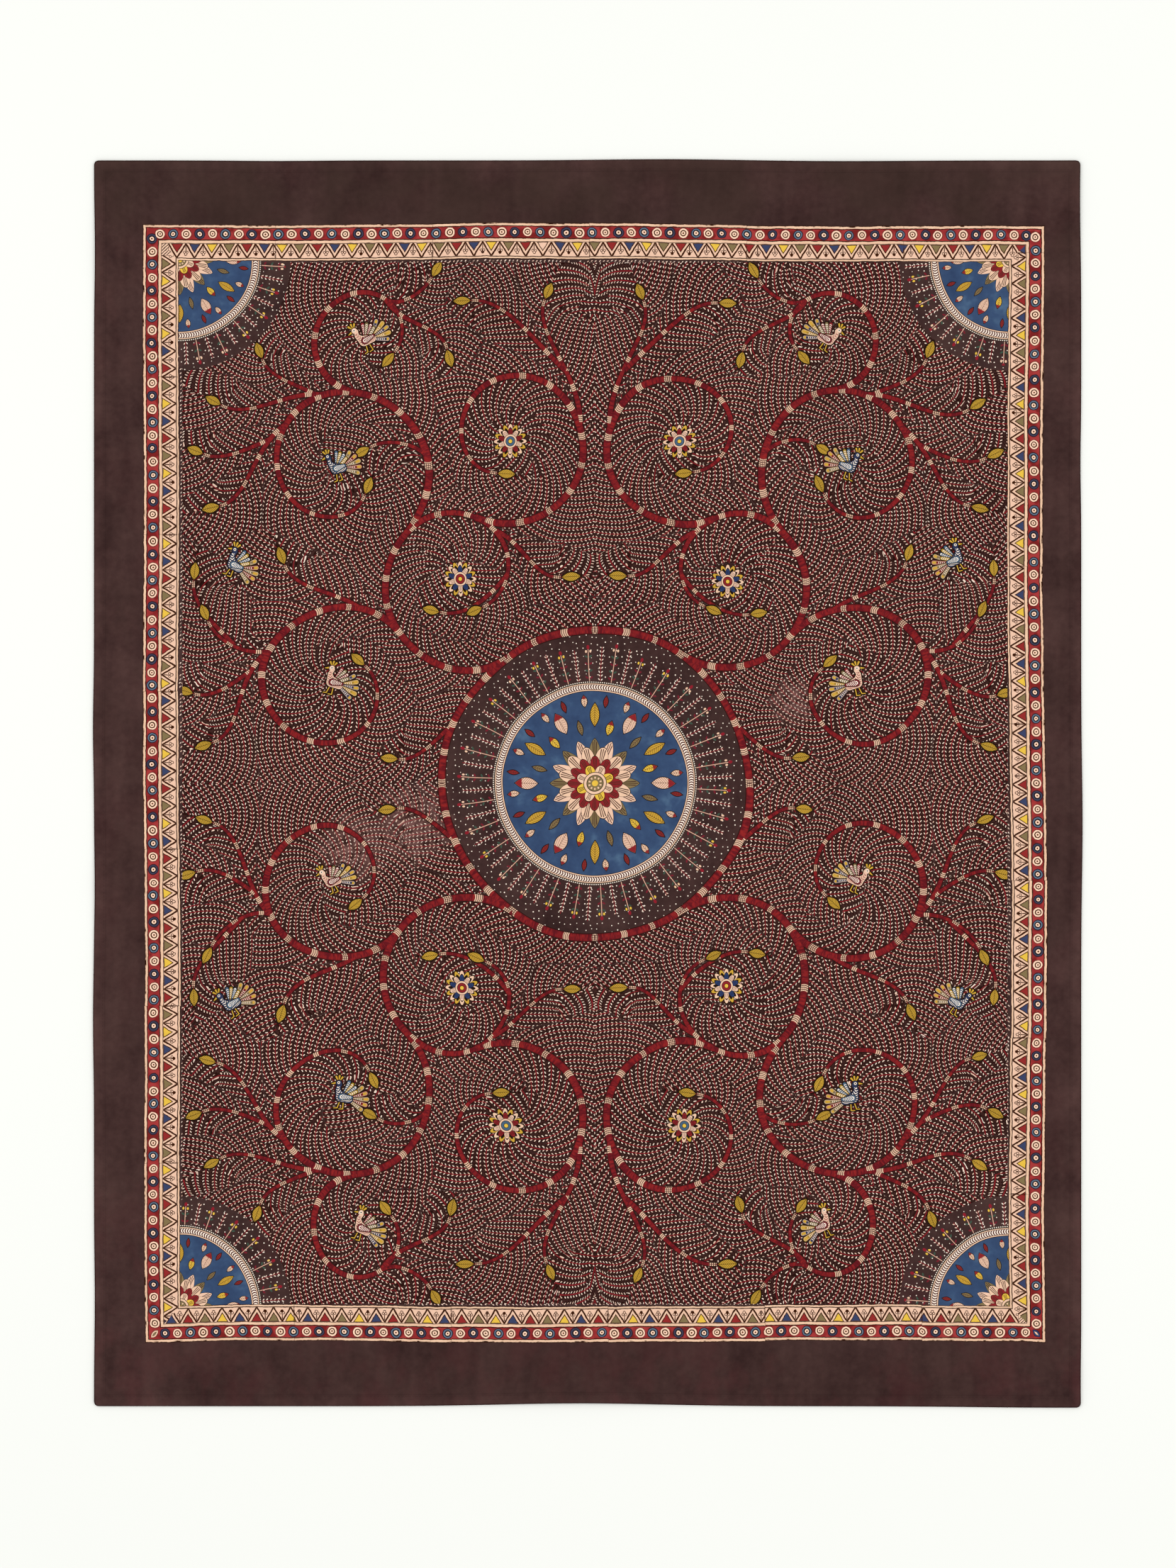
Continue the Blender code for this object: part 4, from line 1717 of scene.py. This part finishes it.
def roundels(recipe, paint, x, y, place):
    """Blue roundels with a lotus, their edging, and the stalks that stand round them."""
    slow_x, slow_y = recipe.wobble(place, 60.0)
    plain_x = x
    plain_y = y
    x = x - FIELD_X / MM + slow_x * ROUNDEL_WOBBLE
    y = y - FIELD_Y / MM + slow_y * ROUNDEL_WOBBLE
    side_x = x > 0.0
    side_y = y > 0.0
    corner_x = x - (side_x * 2.0 - 1.0) * (HALF_W / MM)
    corner_y = y - (side_y * 2.0 - 1.0) * (HALF_L / MM)
    in_corner = span(corner_x, corner_y) < CORNER_REACH
    u = x + in_corner * (corner_x - x)
    v = y + in_corner * (corner_y - y)
    away = span(u, v)
    turn = recipe.maths("ARCTAN2", v, u) / (2.0 * np.pi)
    blue_end = recipe.choose(in_corner, CORNER_BLUE / MM, MIDDLE_BLUE / MM)
    out = away - blue_end

    paint = paint.coated(dots(recipe, plain_x, plain_y) * out.above(EDGING_END + 0.5), CREAM_COOL)
    paint = stalks(recipe, paint, turn, away, out, in_corner)
    paint = paint.coated(out.below(EDGING_END - 0.5, 0.4), INK)
    paint = edging(recipe, paint, turn, out, in_corner)
    washed = recipe.noise(place, 42.0, 3.0, 0.65)
    blue = recipe.mix(recipe.step(washed, 0.3, 0.55, 0.0, 1.0), BLUE_DEEP, BLUE)
    blue = blue.coated(recipe.step(washed, 0.55, 0.75, 0.0, 0.8), BLUE_PALE)
    paint = paint.coated(out.below(0.0, 0.4), blue)
    return lotus(recipe, paint, turn, away * (MIDDLE_BLUE / MM) / blue_end)


# Roundels, in millimetres: how far a corner's one may reach, and how far a slow wobble moves
# the drawing. Then the edging, out from the blue: its crescents and the band they stand on,
# its lines and beads, and where it ends
CORNER_REACH = 200.0
ROUNDEL_WOBBLE = 3.0
CRESCENT_COUNTS = (192.0, 240.0)
CRESCENT_MIDDLE = 6.4
CRESCENT_HALF = 3.2
CRESCENT_BAND = (2.6, 10.0)
EDGING_LINES = ((0.9, 2.3), (10.3, 11.5))
BEAD_ROW = (13.0, 14.4)
BEADS_PER_CRESCENT = 1.25
EDGING_END = 15.5


def edging(recipe, paint, turn, out, in_corner):
    """Two cream lines with a row of crescents between them, and a row of dots outside."""
    count = recipe.choose(in_corner, *CRESCENT_COUNTS)
    bow = (out - CRESCENT_MIDDLE) / CRESCENT_HALF
    crescent = (turn * count + bow * bow * 0.45).fract().below(0.5, 0.15)
    paint = paint.coated(out.between(*CRESCENT_BAND, 0.3), EDGING_RED)
    paint = paint.coated(crescent * abs(bow).below(1.0, 0.12), CREAM_COOL)
    first_line, second_line = (out.between(*line, 0.4) for line in EDGING_LINES)
    paint = paint.coated(first_line + second_line, CREAM)
    beads = (turn * count * BEADS_PER_CRESCENT).fract().between(0.25, 0.75, 0.2)
    return paint.coated(beads * out.between(*BEAD_ROW, 0.4), CREAM_COOL)


# Stalks round a roundel: how many stand round a corner's whole turn and round the middle, how
# tall they are at least and how much taller the tallest is, the breadth of a sprig, and a
# flower's leaves: how far apart, how far off the stalk, half their length and breadth, and the
# cosine and sine of their tilt
STALK_COUNTS = (48.0, 60.0)
STALK_HEIGHTS = (28.0, 44.0)
STALK_EXTRA = 9.0
SPRIG_WIDTH = 8.6
STALK_LEAF_PITCH = 10.5
STALK_LEAF_ASIDE = 3.3
STALK_LEAF_HALVES = (2.6, 1.25)
STALK_LEAF_TILT = (0.82, 0.57)


def stalks(recipe, paint, turn, away, out, in_corner):
    """Sprigs and flowers that stand in turn on the edging, all pointing outwards."""
    count = recipe.choose(in_corner, *STALK_COUNTS)
    share = turn * count
    number = share.floor()
    aside = (share.fract() - 0.5) * (2.0 * np.pi) * away / count
    tall, _, _ = recipe.chances(number, in_corner, 6.0)
    height = recipe.choose(in_corner, *STALK_HEIGHTS) + tall * STALK_EXTRA
    up = out - EDGING_END
    flower = (number % 2.0).above(0.5, 0.1)
    sprig = (1.0 - flower) * up.above(0.0) * up.below(height)
    leaves, _, chance = leaf_pairs(recipe, up, aside, SPRIG_WIDTH, number + 0.25)
    paint = paint.coated(sprig * abs(aside).below(0.5, 0.4) * 0.8, ROW_RED)
    paint = paint.coated(sprig * leaves, recipe.mix(chance * 0.7, CREAM_COOL, LEAF_PINK))

    stem = flower * abs(aside).below(0.5, 0.4) * up.above(0.0) * up.below(height - 3.0)
    paint = paint.coated(stem, LEAF_PINK)
    step = up / STALK_LEAF_PITCH
    leaf_up = (step.fract() - 0.5) * STALK_LEAF_PITCH
    leaf_aside = abs(aside) - STALK_LEAF_ASIDE
    cosine, sine = STALK_LEAF_TILT
    half_length, half_breadth = STALK_LEAF_HALVES
    length = (leaf_aside * cosine + leaf_up * sine) / half_length
    breadth = (leaf_up * cosine - leaf_aside * sine) / half_breadth
    leaf = span(length, breadth).below(1.0, 0.3)
    leaf = leaf * flower * up.above(1.0) * up.below(height - 9.0)
    hue = recipe.in_turn(step.floor(), LEAF_WINE, GREEN)
    paint = paint.coated(leaf, hue)
    bud_up = up - height + 6.0
    bud = (leaf_aside * leaf_aside * 0.5 + bud_up * bud_up * 0.25).root().below(1.0, 0.3)
    paint = paint.coated(bud * flower, recipe.mix(tall.above(0.5, 0.1), YELLOW, CREAM))
    head_up = (up - height) * 0.7
    head = span(aside, head_up).below(2.2, 0.4)
    return paint.coated(head * flower, HEAD_RED)


LOTUS_RINGS = (
    # petals, shift, where they part, where they end, roundness, fill, other fill
    (16.0, 0.5, 46.0, 66.0, 1.3, OLIVE, CREAM_PINK),
    (12.0, 0.0, 37.0, 54.0, 2.0, CREAM, CREAM),
    (12.0, 0.5, 28.0, 40.0, 2.0, RED, RED),
    (8.0, 0.0, 18.0, 28.0, 2.2, YELLOW, CREAM),
)

LEAF_RINGS = (
    # leaves, shift, distance from the middle, half length, half breadth, fill, other fill
    (12.0, 0.5, 101.0, 17.0, 8.5, CREAM_PINK, MUSTARD),
    (12.0, 0.0, 84.0, 11.0, 5.0, YELLOW, OLIVE),
    (24.0, 0.0, 121.0, 8.5, 4.2, CREAM, RED),
)


def lotus(recipe, paint, turn, away):
    """A lotus of four rings of petals, and rings of leaves round it."""
    for *petals, fill, other in LOTUS_RINGS:
        inside, number, aside = petal_ring(turn, away, *petals)
        paint = paint.coated(inside.above(-0.7, 0.4), INK)
        hue = recipe.in_turn(number, fill, other)
        paint = paint.coated(inside.above(0.4, 0.4), hue)
        vein = aside.between(0.18, 0.30, 0.06).at_least(aside.below(0.05, 0.05))
        paint = paint.coated(vein * inside.above(2.0, 0.5), PETAL_VEIN)
    paint = paint.discs(away, ((17.0, INK), (16.0, CREAM), (12.5, INK), (11.5, OLIVE)))
    seeds = (turn * 10.0).fract().between(0.3, 0.7, 0.1) * away.between(7.0, 9.8, 0.4)
    paint = paint.coated(seeds, CREAM)
    paint = paint.coated(away.below(4.4, 0.4), YELLOW)

    for ring in LEAF_RINGS:
        paint = leaf_ring(recipe, paint, turn, away, ring)
    return paint


def leaf_ring(recipe, paint, turn, away, ring):
    """Veined leaves in a ring, all pointing outwards, every other one with a red tip."""
    leaves, shift, reach, half, breadth, fill, other = ring
    share = turn * leaves + shift
    across = (share.fract() - 0.5) * away * (2.0 * np.pi / leaves)
    along = away - reach
    odd = (share.floor() % 2.0).above(0.5, 0.1)
    edge = (1.0 - along * along / (half * half)).at_least(0.0) * (1.0 - odd * 0.24) * breadth
    inside = edge - abs(across)
    near = inside.above(-1.0, 0.4) * abs(along).below(half + 1.0, 0.6)
    paint = paint.coated(near, INK)
    paint = paint.coated(inside.above(0.2, 0.4), recipe.mix(odd, fill, other))
    veins = ((along + abs(across) * VEIN_SLANT) / RING_VEIN_PITCH).fract()
    veins = veins.between(0.0, 0.3, 0.12)
    veins = veins.at_least(abs(across).below(0.4, 0.3))
    paint = paint.coated(veins * inside.above(0.4, 0.4) * 0.8, SMALL_LEAF_VEIN)
    tip = inside.above(0.2, 0.4) * along.above(half * 0.41, 0.5) * (1.0 - odd)
    return paint.coated(tip, RED)


def corner_attribute(mesh, name, values):
    """Stores four numbers for every corner of every face."""
    attribute = mesh.attributes.new(name, "FLOAT_COLOR", "CORNER")
    attribute.data.foreach_set("color", values.astype(np.float32).ravel())


# The map that a picture of the finish is laid out on: its spare border, where the upper and the
# lower face start on it and how broad they are, and how far the fold hangs out
MAP_SPARE = 0.010
MAP_FRONT = (0.262, 0.728)
MAP_BACK = (0.006, 0.236)
MAP_FOLD = 0.006


def map_places(points, faces, count, upper_faces, loop, away):
    """Place of every corner on the map.

    The upper face fills most of it and the lower one a strip. The fold hangs on the edge of
    the upper face, ring by ring. Count is the number of points of one face of the sheet.
    """
    across = points[:, 0] / WIDTH + 0.5
    along = MAP_SPARE + (1.0 - 2.0 * MAP_SPARE) * (points[:, 1] / LENGTH + 0.5)
    front, back = (
        np.stack([along, start + breadth * across], axis=1)
        for start, breadth in (MAP_FRONT, MAP_BACK)
    )
    out = away[:, ::-1] * MAP_FOLD
    hang = np.zeros((len(points), 2))
    edge_point = np.arange(len(points))
    hang[loop] = out
    edge_point[loop] = loop + count
    for step in range(1, FOLD_STEPS):
        ring = 2 * count + (step - 1) * len(loop) + np.arange(len(loop))
        hang[ring] = out * (1.0 - step / FOLD_STEPS)
        edge_point[ring] = loop + count
    fold = faces[2 * upper_faces :]
    place = front[faces]
    place[upper_faces : 2 * upper_faces] = back[faces[upper_faces : 2 * upper_faces]]
    place[2 * upper_faces :] = front[edge_point[fold]] + hang[fold]
    return place


def material_numbers(flat, figure):
    """Number of the material of every face of the grid, from the place of its middle."""
    corners = flat[:-1, :-1] + flat[:-1, 1:] + flat[1:, 1:] + flat[1:, :-1]
    x, y = 0.25 * corners.reshape(-1, 2).T
    framed = (x > FRAME_LEFT - DESIGN_SPARE) & (x < FRAME_RIGHT + DESIGN_SPARE)
    framed &= (y > FRAME_BOTTOM - DESIGN_SPARE) & (y < FRAME_TOP + DESIGN_SPARE)
    field = (x > FIELD_LEFT + DESIGN_SPARE) & (x < FIELD_RIGHT - DESIGN_SPARE)
    field &= (y > FIELD_BOTTOM + DESIGN_SPARE) & (y < FIELD_TOP - DESIGN_SPARE)
    from_x = np.abs(x - FIELD_X)
    from_y = np.abs(y - FIELD_Y)
    middle = np.hypot(from_x, from_y) < RING_RADIUS - MIDDLE_TRIM
    corner = np.hypot(HALF_W - from_x, HALF_L - from_y) < CORNER_CLEAR - CORNER_TRIM
    near_figure = np.hypot(figure[..., 0], figure[..., 1]).min(axis=1)
    figured = field & (near_figure < FIGURE_RADIUS / MM)
    numbers = framed.astype(int) + field + figured
    numbers[field & (middle | corner)] = 4
    return numbers


def make_cloth():
    """The whole cloth: both faces, its folded edge, its attributes and its five materials."""
    lower, upper, from_edge, flat = sheet_points()
    rows, columns, _ = lower.shape
    count = rows * columns
    loop = edge_loop(rows, columns)
    rings, away = fold_points(lower, upper, loop)
    points = np.concatenate([lower.reshape(-1, 3), upper.reshape(-1, 3), *rings])
    face_up = grid_faces(rows, columns, count)
    face_down = (face_up - count)[:, ::-1]
    fold = fold_faces(rows, columns, loop)
    faces = np.concatenate([face_up, face_down, fold])

    mesh = bpy.data.meshes.new("cloth_sheet")
    mesh.from_pydata(points.tolist(), [], faces.tolist())
    mesh.shade_smooth()

    fields = field_attributes(flat)
    empty = np.zeros((len(fold), 4, 4))
    for name, values in fields.items():
        corner_attribute(mesh, name, np.concatenate([values, values[:, ::-1], empty]))
    reverse = np.zeros((len(faces), 4, 4))
    reverse[len(face_up) : 2 * len(face_up)] = 1.0
    corner_attribute(mesh, "reverse", reverse)
    distance = np.zeros(len(points))
    distance[: 2 * count] = np.tile(from_edge.ravel(), 2) / MM
    corner_attribute(mesh, "from_edge", np.repeat(distance[faces][..., None], 4, axis=2))
    spots = map_places(points, faces, count, len(face_up), loop, away)
    layer = mesh.uv_layers.new(name="OFBake")
    layer.data.foreach_set("uv", spots.astype(np.float32).ravel())

    for material in (
        margin_material(),
        border_material(),
        vine_material("painted_vine", False),
        vine_material("painted_figures", True),
        roundel_material(),
    ):
        mesh.materials.append(material)
    numbers = material_numbers(flat, fields["figure"])
    numbers = np.concatenate([numbers, numbers, np.zeros(len(fold), dtype=int)])
    mesh.polygons.foreach_set("material_index", numbers.astype(np.int32))
    mesh.update()

    cloth = bpy.data.objects.new("painted_cloth", mesh)
    bpy.context.scene.collection.objects.link(cloth)
    return cloth


# The room: a plain floor, a pale sky and two large soft lights
FLOOR_SIZE = 14.0
FLOOR_DROP = 0.0006
FLOOR_COLOUR = (0.965, 0.975, 0.930, 1.0)
SKY_LIGHT = 0.83
LIGHTS = (
    # name, place, size, power
    ("left_light", (-2.6, 0.5, 3.6), 2.4, 27.0),
    ("right_light", (2.6, 0.2, 3.6), 2.4, 27.0),
)


def make_floor():
    """The plain floor that the cloth lies on."""
    half = FLOOR_SIZE / 2.0
    corners = [(-half, -half), (half, -half), (half, half), (-half, half)]
    mesh = bpy.data.meshes.new("floor")
    mesh.from_pydata([(x, y, -FLOOR_DROP) for x, y in corners], [], [(0, 1, 2, 3)])
    material = bpy.data.materials.new("pale_floor")
    material.use_nodes = True
    shader = material.node_tree.nodes["Principled BSDF"]
    shader.inputs["Base Color"].default_value = FLOOR_COLOUR
    shader.inputs["Roughness"].default_value = 0.95
    shader.inputs["Specular IOR Level"].default_value = 0.0
    mesh.materials.append(material)
    floor = bpy.data.objects.new("floor", mesh)
    bpy.context.scene.collection.objects.link(floor)
    return floor


def make_lights():
    """The sky and the two lamps, both of which point at the middle of the cloth."""
    world = bpy.data.worlds.new("studio")
    world.use_nodes = True
    world.node_tree.nodes["Background"].inputs["Color"].default_value = (1.0, 1.0, 1.0, 1.0)
    world.node_tree.nodes["Background"].inputs["Strength"].default_value = SKY_LIGHT
    bpy.context.scene.world = world
    for name, place, size, power in LIGHTS:
        lamp = bpy.data.lights.new(name, "AREA")
        lamp.size = size
        lamp.energy = power
        light = bpy.data.objects.new(name, lamp)
        light.location = place
        direction = -np.array(place)
        flat = np.hypot(direction[0], direction[1])
        light.rotation_euler = (
            0.0,
            np.arctan2(flat, -direction[2]),
            np.arctan2(direction[1], direction[0]) + np.pi,
        )
        bpy.context.scene.collection.objects.link(light)


# The camera looks straight down. One pixel of the 1659 by 2212 picture covers 1.0421 mm of cloth
PIXEL = 0.0010421
PICTURE_HEIGHT = 2212
LENS = 85.0
SENSOR = 36.0
CAMERA_X = 0.0004
CAMERA_Y = -0.0008


def make_camera():
    """A camera right above the cloth, as far off as its lens and the size of a pixel ask."""
    data = bpy.data.cameras.new("camera")
    data.lens = LENS
    data.sensor_width = SENSOR
    data.clip_end = 100.0
    camera = bpy.data.objects.new("camera", data)
    distance = PICTURE_HEIGHT * PIXEL * LENS / SENSOR
    camera.location = (CAMERA_X, CAMERA_Y, distance + THICKNESS)
    bpy.context.scene.collection.objects.link(camera)
    bpy.context.scene.camera = camera


make_camera()
make_lights()
bpy.context.scene.view_settings.view_transform = "Standard"
floor = make_floor()
cloth = make_cloth()

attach(cloth, "root")
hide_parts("cloth")
